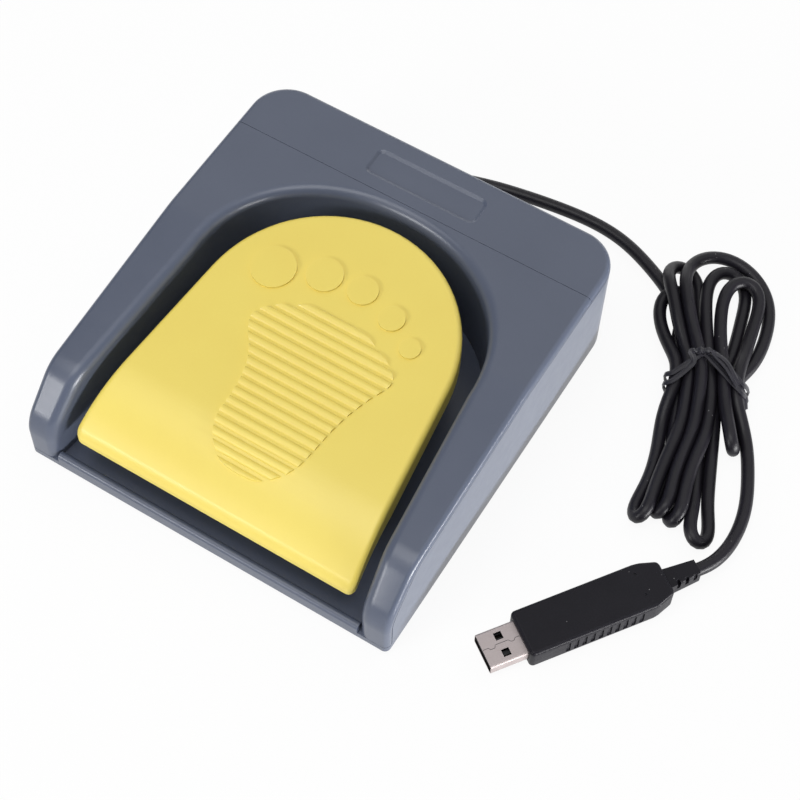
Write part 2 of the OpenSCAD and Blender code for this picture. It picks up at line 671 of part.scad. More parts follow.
module pedal_ear() {
    top = 2 * ear_r + 4;
    rotate([90, 0, 90]) translate([0, 0, -ear_t / 2]) linear_extrude(ear_t) {
        translate([hinge_y, hinge_z]) circle(ear_r);
        polygon([[hinge_y - ear_r, hinge_z], [hinge_y + ear_r, hinge_z],
                 [hinge_y + top / 2, under_z(hinge_y + top / 2) + sink],
                     [hinge_y - top / 2, under_z(hinge_y - top / 2) + sink]]);
    }
}

// Hook with a foot that lies under its keeper when the pedal is up
module pedal_hook() {
    low = keeper_z - hook_play - hook_t;
    rotate([90, 0, 90]) translate([0, 0, -hook_w / 2]) linear_extrude(hook_w)
        polygon([[hook_y, low], [hook_y + foot_reach, low], [hook_y + foot_reach, low + hook_t],
                 [hook_y + hook_t, low + hook_t], [hook_y + hook_t, under_z(hook_y + hook_t) + sink],
                 [hook_y, under_z(hook_y) + sink]]);
}

module hinge_pin() color(steel) translate([0, hinge_y, hinge_z]) rotate([0, 90, 0])
    cylinder(d = pin_d, h = 2 * pin_half, center = true);

// Retaining rings on the ends of the pin, each with an open side
module pin_rings() color(steel) for (s = [-1, 1])
    translate([s * (post_x + post_t + ring_t / 2 + joint_gap), hinge_y, hinge_z]) rotate([0, 90, 0])
        difference() {
        cylinder(r = pin_d / 2 + 1.8, h = ring_t, center = true);
        cylinder(r = pin_d / 2 + joint_gap / 3, h = ring_t + 1, center = true);
        translate([pin_d, 0, 0]) cube([2 * pin_d, pin_d * 0.7, ring_t + 1], center = true);
    }

// Compression spring with closed ends
coil_steps = 10;
end_pitch = wire_d + 0.5;
spring_l = spring_high - spring_low - wire_d;
free_pitch = (spring_l - 2 * end_pitch) / (spring_turns - 2);
function coil_z(t) = t < 1 ? t * end_pitch
    : t < spring_turns - 1 ? end_pitch + (t - 1) * free_pitch
    : spring_l - (spring_turns - t) * end_pitch;
spring_path = [for (i = [0:spring_turns * coil_steps]) let (t = i / coil_steps)
    [spring_d / 2 * cos(360 * t), spring_d / 2 * sin(360 * t), spring_low + wire_d / 2 + coil_z(t)]];
module spring_at(x) color(steel) translate([x, spring_y, 0]) tube(spring_path, wire_d / 2, 6);
module spring_left() spring_at(-spring_x);
module spring_right() spring_at(spring_x);

module circuit_board() color([0.12, 0.35, 0.2]) difference() {
    translate([-board_w / 2, board_y - board_d / 2, board_z]) cube([board_w, board_d, board_t]);
    for (p = board_holes) translate([p[0], p[1], board_z - 1])
        cylinder(d = board_screw_d + 0.4, h = board_t + 2);
    for (x = terminals) translate([x, switch_y, board_z - 1]) cylinder(d = 1.5, h = board_t + 2);
}
module board_screws() color(steel) for (p = board_holes)
    translate([p[0], p[1], case_z + 1.4]) rotate([180, 0, 0])
        screw(board_screw_d, standoff_h + board_t - 0.8, 3.8, 1.4);

module switch_case() color(black) difference() {
    translate([switch_off - switch_l / 2, switch_y - switch_w / 2, case_z])
        cube([switch_l, switch_w, switch_h]);
    translate([0, switch_y, case_z + switch_h - (plunger_in + plunger_travel + plunger_fit) / 2])
        cube([plunger_w + 2 * plunger_fit, plunger_d + 2 * plunger_fit,
            plunger_in + plunger_travel + plunger_fit + eps], center = true);
    for (s = [-1, 1]) translate([switch_off + s * switch_l * 0.24, switch_y, case_z + 2.9]) rotate([90, 0, 0])
        cylinder(d = 2.4, h = switch_w + 2, center = true);
}
module switch_plunger() color([0.75, 0.2, 0.15])
    translate([-plunger_w / 2, switch_y - plunger_d / 2, plunger_top - plunger_in - plunger_up])
        cube([plunger_w, plunger_d, plunger_in + plunger_up]);
module switch_terminals() color(gold) for (x = terminals)
    translate([x - 0.45, switch_y - 0.25, board_z - 1.6]) cube([0.9, 0.5, board_t + 1.6]);

// Chip with a row of legs on each long side
module controller_chip() color(black) {
    translate([chip_pos[0], chip_pos[1], case_z + 1]) cube([10, 4, 1.5], center = true);
    for (s = [-1, 1], i = [-3:3]) translate([chip_pos[0] + i * 1.27, chip_pos[1] + s * 2.5, case_z + 0.6])
        cube([0.42, 1.4, 1.2], center = true);
}
module crystal_can() color(steel) translate([crystal_pos[0], crystal_pos[1], case_z]) linear_extrude(3.4)
    rounded_rect(10, 4.4, 2.1);
module capacitors() color([0.7, 0.55, 0.4]) for (p = cap_pos) translate([p[0], p[1], case_z + 0.6])
    cube([2, 1.25, 1.2], center = true);
module cable_header() color([0.92, 0.9, 0.85]) translate([header_pos[0], header_pos[1], case_z])
    difference() {
    translate([-header_size[0] / 2, -header_size[1] / 2, 0]) cube(header_size);
    translate([-header_size[0] / 2 + 1, -header_size[1] / 2 + 1, 1])
        cube([header_size[0] - 2, header_size[1] - 2, header_size[2]]);
}

// Plug frame: it starts at the front of the case, +X towards the cord
plug_pos = [100.1, -48.2];
plug_turn = 54.8;
plug_z = case_h / 2 + 0.1;
plug_dir = [cos(plug_turn), sin(plug_turn), 0];
boot_len = 11;
cord_meet = concat(plug_pos, [plug_z]) + (case_l + boot_len) * plug_dir;

// Cord: exit boot, lead to the hank, hank and tail to the plug
boot_r = 3.9;
boot_end_r = cord_d / 2 + 0.7;
boot_neck_r = 3.2;
neck_fit = 0.1;
flange_t = 1.6;
boot_end = back_y + boot_l;
inner_y = back_y - wall - flange_t - joint_gap;
module cord_boot() color(black) translate([exit_x, back_y, exit_z]) rotate([-90, 0, 0]) rotate_extrude()
    polygon([
    [0, -wall - flange_t - joint_gap], [boot_r + 1, -wall - flange_t - joint_gap],
        [boot_r + 1, -wall - joint_gap],
    [boot_neck_r - neck_fit, -wall - joint_gap], [boot_neck_r - neck_fit, joint_gap], [boot_r, joint_gap],
    [boot_r, 2], [boot_r - 0.5, 2.2], [boot_r - 0.5, 3], [boot_r - 0.2, 3.2], [boot_r - 0.4, 4.4],
    [boot_r - 0.8, 4.6], [boot_r - 0.8, 5.4], [boot_r - 0.6, 5.6], [boot_end_r, boot_l], [0, boot_l]]);

inner_path = [[exit_x, inner_y, exit_z], [exit_x, inner_y - cord_d, exit_z], [-26, 58, 9], [-22, 51, 8.2],
    [-17, 44, 8],
              [-12, 36, 8.2], [-8, 29, 10], [-6.4, 23, 12],
                  [header_pos[0], header_pos[1] + header_size[1] / 2 + cord_d, case_z + 3],
              [header_pos[0], header_pos[1] + header_size[1] / 2, case_z + 3]];
module inner_lead() color(black) tube(inner_path, cord_d / 2 - 0.3, 8);

// Hank frame: middle of its length, direction to its top end and to its right
rest_z = cord_d / 2 + 0.05;
hank_mid = [107.8, 59];
hank_turn = 110;
hank_up = [cos(hank_turn), sin(hank_turn)];
hank_right = [sin(hank_turn), -cos(hank_turn)];
hank_from = 290;
hank_back = (hank_from - 90) / 360 + 2;
hank_end = hank_from / 360 + 4;
hank_steps = 24;
waist_w = 2.75 * hank_pitch;
end_step = 4.6;
bulge_step = 7.5;
top_bulge = 30.3;
low_bulge = 23.4;
waist_lift = tie_d + 0.4;
function turn_in(t) = t < hank_back ? t : 2 * hank_back - t;
function ease(x) = x <= 0 ? 0 : x >= 1 ? 1 : x * x * (3 - 2 * x);
function hank_local(t) = let (
    a = hank_from - 360 * t,
    k = turn_in(t),
    c = cos(a),
    long = (hank_half - end_step * k) * sign(c) * sqrt(abs(c)),
    waist = waist_w - hank_pitch * k,
    bulge = (c > 0 ? top_bulge : low_bulge) - bulge_step * k,
    wide = (waist + (bulge - waist) * abs(c)) * sin(a),
    climb = hank_pitch * ease(2 * (t - hank_back) + 0.5))
    [long, wide, rest_z + waist_lift * pow(abs(sin(a)), 8) + climb];
function hank_world(q) = concat(hank_mid + q[0] * hank_up + q[1] * hank_right, [q[2]]);
hank_rings = floor(hank_end * hank_steps);
hank_path = [for (i = [0:hank_rings]) hank_world(hank_local(hank_end * i / hank_rings))];
hank_gap = self_gap(dense(hank_path, 3), cord_d, 36);
echo(least_gap_of_hank_turns = hank_gap);  // cord_hank
spring_gap = self_gap(spring_path, wire_d, 6);
echo(least_gap_of_spring_turns = spring_gap);  // spring_left
module cord_hank() color(black) tube(hank_path, cord_d / 2, 6);

// Stretches that lie free: points chosen along the floor
hank_in = path_dir(hank_path, 0);
hank_out = path_dir(hank_path, hank_rings);
lead_path = concat([[exit_x, boot_end, exit_z], [exit_x, boot_end + cord_d, exit_z]],
    [[-25, 90.5, 7.6], [-19, 95, 5.6], [-11, 97.5, 3.6], [-2, 99, 2.4], [7, 100.6, 2.1], [17, 102, 2.1],
        [27, 103, 2.1],
     [37, 103.7, 2.1], [47, 103.6, 2.1], [57, 102, 2.1], [65, 99.5, 2.1], [71.5, 96, 2.1], [76, 91, 2.1]],
    [hank_path[0] - cord_d * hank_in, hank_path[0]]);
tail_path = concat([hank_path[hank_rings], hank_path[hank_rings] + cord_d * hank_out],
    [[80.6, 103, 6.8], [76.2, 97, 7.2], [76, 90, 8.6], [79.5, 83.5, 11], [87.5, 77, 13], [97.5, 71, 13.2],
        [107.6, 65.3, 13.2],
     [116.5, 60, 13], [123.6, 55, 11], [129.6, 48.5, 7.5], [134.3, 40.5, 4.2], [138.3, 32, 2.5],
         [140.3, 24, 2.2],
     [140.4, 16, 2.4], [139.2, 9.5, 3.4]],
    [cord_meet + cord_d * plug_dir, cord_meet]);
module cord_lead() color(black) tube(lead_path, cord_d / 2, 8);
module cord_tail() color(black) tube(tail_path, cord_d / 2, 8);

// Wire twisted round the waist of the hank, its ends crossed into a tail
tie_s = 6;
tie_low = 0.2 + tie_d / 2;
tie_high = 13.2 + cord_d / 2 + tie_d / 2 + 0.4;
tie_wide = waist_w + cord_d / 2 + tie_d / 2 + 1.7;
tie_steps = 40;
function squared(x) = sign(x) * pow(abs(x), 1 / 4);
tie_path = concat([hank_world([tie_s - 3, tie_wide + 4.5, tie_high - 7]),
    hank_world([tie_s - 1.2, tie_wide + 2.2, tie_high - 5.5])],
    [for (i = [1:tie_steps - 1]) let (a = 360 * i / tie_steps)
        hank_world([tie_s + 1.8 * (1 - i / tie_steps) - 0.2, tie_wide * squared(cos(a)),
                    (tie_low + tie_high) / 2 + (tie_high - tie_low) / 2 * squared(sin(a))])]);
module twist_tie() color(black) tie_tube(tie_path, tie_d / 2, 6);

// Tube whose path turns through the vertical: its rings keep the hank's own direction
function tie_ring(p, t, r, n) = let (s = concat(hank_up, [0]), side = unit(s - (s * t) * t),
    up = cross(side, t))
    [for (k = [0:n - 1]) p + r * (cos(360 * k / n) * side + sin(360 * k / n) * up)];
module tie_tube(path, r, n) {
    rings = [for (i = [0:len(path) - 1]) tie_ring(path[i], path_dir(path, i), r, n)];
    polyhedron(flat_list(rings), tube_faces(len(path), n));
}

// Pieces of the plug
shell_in = 5;
taper_l = 6.8;
tail_w = 11.8;
case_r = 1.5;
case_fit = 0.1;
module on_plug() translate([plug_pos[0], plug_pos[1], plug_z]) rotate(plug_turn) children();

// Plan of the case, drawn in by inset
module case_plan(inset) {
    w = case_w / 2 - inset;
    end_w = (tail_w - inset) / 2;
    r = max(0.2, case_r - inset);
    polygon([[inset + r, -w], [case_l - taper_l, -w], [case_l - inset, -end_w], [case_l - inset, end_w],
             [case_l - taper_l, w], [inset + r, w], [inset, w - r], [inset, r - w]]);
    for (s = [-1, 1]) translate([inset + r, s * (w - r)]) circle(r);
}

grip_n = 10;
grip_pitch = 2.8;
grip_from = 12;
grip_deep = 0.45;
grip_h = case_h / 2 - 1.7;
dimples = [[case_l - 8.9, 4.4], [case_l - 8.9, -3.1]];
module case_half(up) mirror([0, 0, up ? 0 : 1]) difference() {
    linear_extrude(case_h / 2) case_plan(0);
    translate([0, 0, -1]) linear_extrude(case_h / 2 - case_wall + 1) case_plan(case_wall);
    // opening for the metal shell
    translate([-1, -shell_w / 2 - case_fit, -1])
        cube([case_wall + 2, shell_w + 2 * case_fit, 1 + shell_h / 2 + case_fit]);
    // opening for the strain relief
    translate([case_l - case_wall - 1, -boot_w / 2 - case_fit, -1])
        cube([case_wall + 2, boot_w + 2 * case_fit, 1 + boot_h / 2 + case_fit]);
    // grip along each side
    for (s = [-1, 1], i = [0:grip_n - 1])
        translate([grip_from + i * grip_pitch, s * case_w / 2 - grip_deep, -1])
            cube([grip_pitch * 0.5, 2 * grip_deep, 1 + grip_h]);
    // two small dimples
    if (up) for (d = dimples) translate([d[0], d[1], case_h / 2 - 0.5]) cylinder(d = 0.9, h = 1);
}
module plug_case_upper() color(black) on_plug() case_half(true);
module plug_case_lower() color(black) on_plug() translate([0, 0, -eps]) case_half(false);

boot_w = 7.2;
boot_h = 5.4;
boot_tip_w = 5.2;
slot_n = 3;
slot_pitch = 3;
slot_w = 1.3;
slot_from = 2.4;
slot_deep = 1.9;
module plug_boot() color(black) on_plug() difference() {
    union() {
        translate([0, 0, -boot_h / 2]) linear_extrude(boot_h)
            polygon([[case_l - case_wall - 0.1, -boot_w / 2], [case_l + boot_len, -boot_tip_w / 2],
                     [case_l + boot_len, boot_tip_w / 2], [case_l - case_wall - 0.1, boot_w / 2]]);
        translate([case_l - case_wall - 2.2, -boot_w / 2 - 0.3, -boot_h / 2 + 0.1])
            cube([2, boot_w + 0.6, boot_h - 0.2]);
        translate([case_l - case_wall - 0.3, -boot_w / 2 + 0.1, -boot_h / 2 + 0.1])
            cube([1, boot_w - 0.2, boot_h - 0.2]);
    }
    // slots from above on one side and from below on the other
    for (i = [0:slot_n - 1], turn = [0, 180]) rotate([turn, 0, 0])
        translate([case_l + slot_from + i * slot_pitch, -boot_w / 2 - 1, -0.3])
            cube([slot_w, 1 + slot_deep - i * 0.2, boot_h]);
}

shell_r = 0.7;
module plug_shell() color(steel) on_plug() difference() {
    translate([-shell_l, 0, 0]) rotate([90, 0, 90]) linear_extrude(shell_l + shell_in) difference() {
        rounded_rect(shell_w, shell_h, shell_r);
        rounded_rect(shell_w - 2 * shell_t, shell_h - 2 * shell_t, shell_r - shell_t);
    }
    for (s = [-1, 1]) translate([-shell_l + 5.2, s * 2.9 - 1.25, -shell_h]) cube([2.5, 2.5, 2 * shell_h]);
}
tongue_t = 1.9;
tongue_play = 0.1;
module plug_tongue() color([0.9, 0.9, 0.88]) on_plug()
    translate([-shell_l + 0.6, -shell_w / 2 + shell_t + tongue_play, -shell_h / 2 + shell_t + tongue_play])
        difference() {
            cube([shell_l + shell_in - 0.6, shell_w - 2 * shell_t - 2 * tongue_play, tongue_t]);
            for (s = [-1, 1]) translate([4.6, shell_w / 2 - shell_t - tongue_play + s * 2.9 - 1.25, -1])
                cube([2.5, 2.5, 1.4]);
        }
contact_w = 1;
contact_y = [-3.5, -1, 1, 3.5];
module plug_contacts() color(gold) on_plug() for (y = contact_y)
    translate([-shell_l + 1.8, y - contact_w / 2, -shell_h / 2 + shell_t + tongue_play + tongue_t])
        cube([shell_l + shell_in - 1.8, contact_w, 0.2]);
module plug_board() color([0.12, 0.35, 0.2]) on_plug()
    translate([shell_in + 0.3, -case_w / 2 + case_wall + 0.3, -0.6])
        cube([case_l - shell_in - taper_l - 6, case_w - 2 * case_wall - 0.6, 1]);

base_shell();
top_frame();
rear_cover();
rubber_feet();
housing_screws();
pedal();
hinge_pin();
pin_rings();
spring_left();
spring_right();
circuit_board();
board_screws();
switch_case();
switch_plunger();
switch_terminals();
controller_chip();
crystal_can();
capacitors();
cable_header();
inner_lead();
cord_boot();
cord_lead();
cord_hank();
cord_tail();
twist_tie();
plug_case_upper();
plug_case_lower();
plug_boot();
plug_shell();
plug_tongue();
plug_contacts();
plug_board();
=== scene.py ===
import json
import math
import bpy
import numpy as np
from mathutils import Matrix, Vector

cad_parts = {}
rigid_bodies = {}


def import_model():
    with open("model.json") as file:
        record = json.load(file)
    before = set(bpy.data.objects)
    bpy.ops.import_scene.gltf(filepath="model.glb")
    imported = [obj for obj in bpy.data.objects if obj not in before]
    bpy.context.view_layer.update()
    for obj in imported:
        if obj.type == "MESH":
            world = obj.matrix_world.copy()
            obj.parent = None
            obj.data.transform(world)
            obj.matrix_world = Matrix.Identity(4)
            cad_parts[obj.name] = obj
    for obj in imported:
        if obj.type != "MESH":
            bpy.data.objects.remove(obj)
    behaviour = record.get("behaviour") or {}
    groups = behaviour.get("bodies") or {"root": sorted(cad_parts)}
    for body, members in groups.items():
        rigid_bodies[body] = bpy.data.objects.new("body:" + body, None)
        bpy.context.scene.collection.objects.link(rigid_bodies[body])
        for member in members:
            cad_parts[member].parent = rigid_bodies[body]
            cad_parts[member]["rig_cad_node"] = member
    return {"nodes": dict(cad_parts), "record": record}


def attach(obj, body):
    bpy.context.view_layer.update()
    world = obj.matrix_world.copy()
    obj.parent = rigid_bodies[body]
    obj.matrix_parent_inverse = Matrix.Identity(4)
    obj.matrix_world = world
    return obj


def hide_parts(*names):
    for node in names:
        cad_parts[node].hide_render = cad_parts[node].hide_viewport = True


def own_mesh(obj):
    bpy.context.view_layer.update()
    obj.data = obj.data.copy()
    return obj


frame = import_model()
nodes = frame["nodes"]
bodyOf = {n: b for b, members in frame["record"]["behaviour"]["bodies"].items() for n in members}
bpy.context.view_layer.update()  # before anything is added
mm = 0.001
print("frame:", len(nodes), "nodes")


# camera

photoView = {
    "target": (23.03, 7.52, 0.0), "distance": 645.2,
    "azimuth": 29.753, "elevation": 59.053, "roll": 2.079,
    "lens": 87.82, "sensor": 36, "nearest": 0.01,
}


def placeCamera(view):
    turn = (Matrix.Rotation(math.radians(view["azimuth"]), 4, "Z")
            @ Matrix.Rotation(math.radians(90 - view["elevation"]), 4, "X")
            @ Matrix.Rotation(math.radians(view["roll"]), 4, "Z"))
    bpy.ops.object.camera_add()
    camera = bpy.context.active_object
    camera.name = "photoCamera"
    camera.data.lens = view["lens"]
    camera.data.sensor_width = view["sensor"]
    camera.data.clip_start = view["nearest"]
    eye = Vector(view["target"]) * mm + turn.to_3x3() @ Vector((0, 0, view["distance"] * mm))
    camera.matrix_world = Matrix.Translation(eye) @ turn
    bpy.context.scene.camera = camera


placeCamera(photoView)


# editing helpers

def pick(obj):
    if bpy.context.mode != "OBJECT":
        bpy.ops.object.mode_set(mode="OBJECT")
    bpy.ops.object.select_all(action="DESELECT")
    obj.select_set(True)
    bpy.context.view_layer.objects.active = obj


def applyModifier(obj, kind, **settings):
    modifier = obj.modifiers.new(kind.lower(), kind)
    for name, value in settings.items():
        setattr(modifier, name, value)
    pick(obj)
    bpy.ops.object.modifier_apply(modifier=modifier.name)


# shader helpers

def srgb(r, g, b):
    line = [c / 255 for c in (r, g, b)]
    return tuple(c / 12.92 if c < 0.04045 else ((c + 0.055) / 1.055) ** 2.4 for c in line) + (1.0,)


def place(tree, kind, x=0, y=0, **settings):
    item = tree.nodes.new(kind)
    item.location = (x, y)
    for name, value in settings.items():
        setattr(item, name, value)
    return item


def feed(item, socket, value):
    if isinstance(value, bpy.types.NodeSocket):
        item.id_data.links.new(value, item.inputs[socket])
    else:
        item.inputs[socket].default_value = value


def mixColour(tree, factor, a, b, x=0, y=0):
    item = place(tree, "ShaderNodeMix", x, y, data_type="RGBA")
    for socket, value in ((0, factor), (6, a), (7, b)):
        feed(item, socket, value)
    return item.outputs[2]


def ranged(tree, value, low, high, toLow, toHigh, x=0, y=0):  # clamped
    item = place(tree, "ShaderNodeMapRange", x, y)
    for socket, number in ((0, value), (1, low), (2, high), (3, toLow), (4, toHigh)):
        feed(item, socket, number)
    return item.outputs[0]


def sums(tree, operation, a, b, x=0, y=0):
    item = place(tree, "ShaderNodeMath", x, y, operation=operation)
    feed(item, 0, a)
    feed(item, 1, b)
    return item.outputs[0]


def newGroup(name, inputs, outputs):
    group = bpy.data.node_groups.new(name, "ShaderNodeTree")
    for title, value in inputs:
        socket = group.interface.new_socket(title, in_out="INPUT", socket_type="NodeSocketFloat")
        socket.default_value = value
    for title in outputs:
        group.interface.new_socket(title, in_out="OUTPUT", socket_type="NodeSocketFloat")
    return group, place(group, "NodeGroupInput", -900), place(group, "NodeGroupOutput", 700)


def useGroup(tree, group, x=0, y=0, **values):
    item = place(tree, "ShaderNodeGroup", x, y, node_tree=group)
    for title, value in values.items():
        feed(item, title, value)
    return item


def noise(tree, scale, detail, vector, x=0, y=0, rough=0.5):
    item = place(tree, "ShaderNodeTexNoise", x, y)
    feed(item, "Vector", vector)
    feed(item, "Scale", scale)
    feed(item, "Detail", detail)
    feed(item, "Roughness", rough)
    return item.outputs["Fac"]


# spark-eroded mould grain: fine pits, a slow drift in tone, patches of gloss
grainMix = {"pitScale": 0.7, "pitDepth": 0.8, "patchScale": 7, "tone": (0.7, 0.3), "gloss": (0.6, 0.4)}


def makeMouldGrain():
    group, given, out = newGroup("mouldGrain", [("Pits per metre", 2600), ("Drift per metre", 38)],
                                 ["Tone", "Gloss", "Height"])
    spot = place(group, "ShaderNodeTexCoord", -900, -200).outputs["Object"]
    fine = noise(group, given.outputs[0], 2.5, spot, -600, 200)
    pits = place(group, "ShaderNodeTexVoronoi", -600, -50, feature="SMOOTH_F1")
    feed(pits, "Vector", spot)
    feed(pits, "Scale", sums(group, "MULTIPLY", given.outputs[0], grainMix["pitScale"], -780, -50))
    drift = noise(group, given.outputs[1], 3, spot, -600, -320)
    patchScale = sums(group, "MULTIPLY", given.outputs[1], grainMix["patchScale"], -780, -520)
    patch = noise(group, patchScale, 2, spot, -600, -560)
    sunk = sums(group, "MULTIPLY", pits.outputs["Distance"], grainMix["pitDepth"], -300, -50)
    height = sums(group, "ADD", fine, sunk, -100, 100)
    slow, quick = grainMix["tone"]
    tone = sums(group, "ADD", sums(group, "MULTIPLY", drift, slow, -300, -320),
                sums(group, "MULTIPLY", fine, quick, -300, 250), -100, -200)
    slow, quick = grainMix["gloss"]
    gloss = sums(group, "ADD", sums(group, "MULTIPLY", patch, slow, -300, -560),
                 sums(group, "MULTIPLY", fine, quick, -300, 400), -100, -450)
    for title, value in (("Tone", tone), ("Gloss", gloss), ("Height", height)):
        feed(out, title, value)
    return group


# where edges catch hands and shoes, and where a painted highlight lightens them: the bevelled normal against
# the true one
rubAndSheenMix = {"samples": 6, "bent": (0.995, 0.80), "cloud": (0.36, 0.62), "least": 0.25}


def makeEdgeRubAndSheen():
    group, given, out = newGroup("edgeRubAndSheen", [("Width", 0.0005), ("Breakup per metre", 260)], ["Mask"])
    soft = place(group, "ShaderNodeBevel", -600, 100, samples=rubAndSheenMix["samples"])
    feed(soft, "Radius", given.outputs[0])
    real = place(group, "ShaderNodeNewGeometry", -600, -100)
    dot = place(group, "ShaderNodeVectorMath", -400, 0, operation="DOT_PRODUCT")
    feed(dot, 0, soft.outputs[0])
    feed(dot, 1, real.outputs["Normal"])
    edge = ranged(group, dot.outputs["Value"], *rubAndSheenMix["bent"], 0.0, 1.0, -200, 0)
    spot = place(group, "ShaderNodeTexCoord", -900, -300).outputs["Object"]
    cloud = noise(group, given.outputs[1], 3, spot, -600, -300)
    broken = ranged(group, cloud, *rubAndSheenMix["cloud"], rubAndSheenMix["least"], 1.0, -200, -300)
    feed(out, "Mask", sums(group, "MULTIPLY", edge, broken, 200, 0))
    return group


# sparse pale lint lying on dark goods
speckSize = (0.10, 0.24)  # full to none, in shares of a cell


def makeLint():
    group, given, out = newGroup("lint", [("Specks per metre", 900), ("Share", 0.03)], ["Mask"])
    spot = place(group, "ShaderNodeTexCoord", -900, -200).outputs["Object"]
    cells = place(group, "ShaderNodeTexVoronoi", -600, 0)
    feed(cells, "Vector", spot)
    feed(cells, "Scale", given.outputs[0])
    near = ranged(group, cells.outputs["Distance"], *speckSize, 1.0, 0.0, -300, 0)
    split = place(group, "ShaderNodeSeparateColor", -400, -200)
    feed(split, 0, cells.outputs["Color"])
    chosen = sums(group, "LESS_THAN", split.outputs[0], given.outputs[1], -200, -200)
    feed(out, "Mask", sums(group, "MULTIPLY", near, chosen, 200, 0))
    return group


# drawn or brushed metal along one direction of a piece
brushMix = {"squeeze": (0.02, 1.0, 1.0), "rough": 0.65, "cloud": 240, "tone": (0.6, 0.4)}


def makeBrushed():
    group, given, out = newGroup("brushed", [("Turn", 0.0), ("Lines per metre", 9000)], ["Tone", "Height"])
    spot = place(group, "ShaderNodeTexCoord", -900, -200).outputs["Object"]
    spin = place(group, "ShaderNodeVectorRotate", -700, -200, rotation_type="Z_AXIS")
    feed(spin, "Vector", spot)
    feed(spin, "Angle", given.outputs[0])
    squeeze = place(group, "ShaderNodeVectorMath", -500, -200, operation="MULTIPLY")
    feed(squeeze, 0, spin.outputs[0])
    feed(squeeze, 1, brushMix["squeeze"])
    lines = noise(group, given.outputs[1], 3, squeeze.outputs[0], -300, 0, brushMix["rough"])
    cloud = noise(group, brushMix["cloud"], 2, spot, -300, -300)
    feed(out, "Height", lines)
    drawn, clouded = brushMix["tone"]
    feed(out, "Tone", sums(group, "ADD", sums(group, "MULTIPLY", lines, drawn, 0, 0),
                           sums(group, "MULTIPLY", cloud, clouded, 0, -300), 200, -100))
    return group


mouldGrain = makeMouldGrain()
edgeRubAndSheen = makeEdgeRubAndSheen()
lint = makeLint()
brushed = makeBrushed()


def newFinish(name):
    finish = bpy.data.materials.new(name)
    finish.use_nodes = True
    shader = finish.node_tree.nodes["Principled BSDF"]
    shader.location = (900, 0)
    return finish, finish.node_tree, shader


def bumpInto(tree, shader, height, strength, distance):
    bump = place(tree, "ShaderNodeBump", 600, -300)
    feed(bump, "Height", height)
    feed(bump, "Strength", strength)
    feed(bump, "Distance", distance)
    feed(shader, "Normal", bump.outputs[0])


grainSpan = (0.3, 0.7)  # where the grain's tone and gloss lie
brushSpan = (0.35, 0.65)  # where the brushed lines' tone lies
lintLook = {"perMetre": 1100, "strength": 0.55, "tone": srgb(170, 168, 170)}
rubbedShine = 0.08  # how much smoother a rubbed edge is
metalRubAndSheen = {"strength": 0.5, "brushDepth": 0.02}


# moulded plastic or rubber; the looks below say what it takes, lengths in mm
def plasticFinish(name, look):
    finish, tree, shader = newFinish(name)
    grain = useGroup(tree, mouldGrain, -600, 0,
                     **{"Pits per metre": look["pits"], "Drift per metre": look["drift"]})
    rubAndSheen = useGroup(tree, edgeRubAndSheen, -600, -300, **{"Width": look["rubAndSheenWidth"] * mm})
    drift = ranged(tree, grain.outputs["Tone"], *grainSpan, 0, 1, -400, 200)
    tone = mixColour(tree, drift, look["deep"], look["pale"], -150, 200)
    # edges lighter: partly rubbed wear, partly a painted edge highlight
    wornAndSheen = sums(tree, "MULTIPLY", rubAndSheen.outputs[0], look["rubAndSheen"], -150, -300)
    tone = mixColour(tree, wornAndSheen, tone, look["rubAndSheenTone"], 100, 200)
    if look.get("lint"):
        specks = useGroup(tree, lint, -150, 500,
                          **{"Specks per metre": lintLook["perMetre"], "Share": look["lint"]})
        lying = sums(tree, "MULTIPLY", specks.outputs[0], lintLook["strength"], 100, 500)
        tone = mixColour(tree, lying, tone, lintLook["tone"], 350, 200)
    feed(shader, "Base Color", tone)
    rough = ranged(tree, grain.outputs["Gloss"], *grainSpan, *look["rough"], -150, 0)
    shine = sums(tree, "MULTIPLY", rubAndSheen.outputs[0], rubbedShine, -150, -450)
    feed(shader, "Roughness", sums(tree, "SUBTRACT", rough, shine, 350, 0))
    feed(shader, "Specular IOR Level", look.get("specular", 0.5))
    bumpInto(tree, shader, grain.outputs["Height"], look["bump"], look["depth"] * mm)
    return finish


def metalFinish(name, look):
    finish, tree, shader = newFinish(name)
    lines = useGroup(tree, brushed, -600, 0,
                     **{"Turn": math.radians(look["turn"]), "Lines per metre": look["lines"]})
    rubAndSheen = useGroup(tree, edgeRubAndSheen, -600, -300, **{"Width": look["rubAndSheenWidth"] * mm})
    drawn = ranged(tree, lines.outputs["Tone"], *brushSpan, 0, 1, -400, 200)
    tone = mixColour(tree, drawn, look["deep"], look["pale"], -150, 200)
    # edges lighter: partly rubbed wear, partly a painted edge highlight
    wornAndSheen = sums(tree, "MULTIPLY", rubAndSheen.outputs[0], metalRubAndSheen["strength"], -150, -300)
    feed(shader, "Base Color", mixColour(tree, wornAndSheen, tone, look["rubAndSheenTone"], 100, 200))
    feed(shader, "Metallic", 1.0)
    feed(shader, "Roughness", ranged(tree, lines.outputs["Tone"], *brushSpan, *look["rough"], -150, 0))
    bumpInto(tree, shader, lines.outputs["Height"], look["bump"], metalRubAndSheen["brushDepth"] * mm)
    return finish


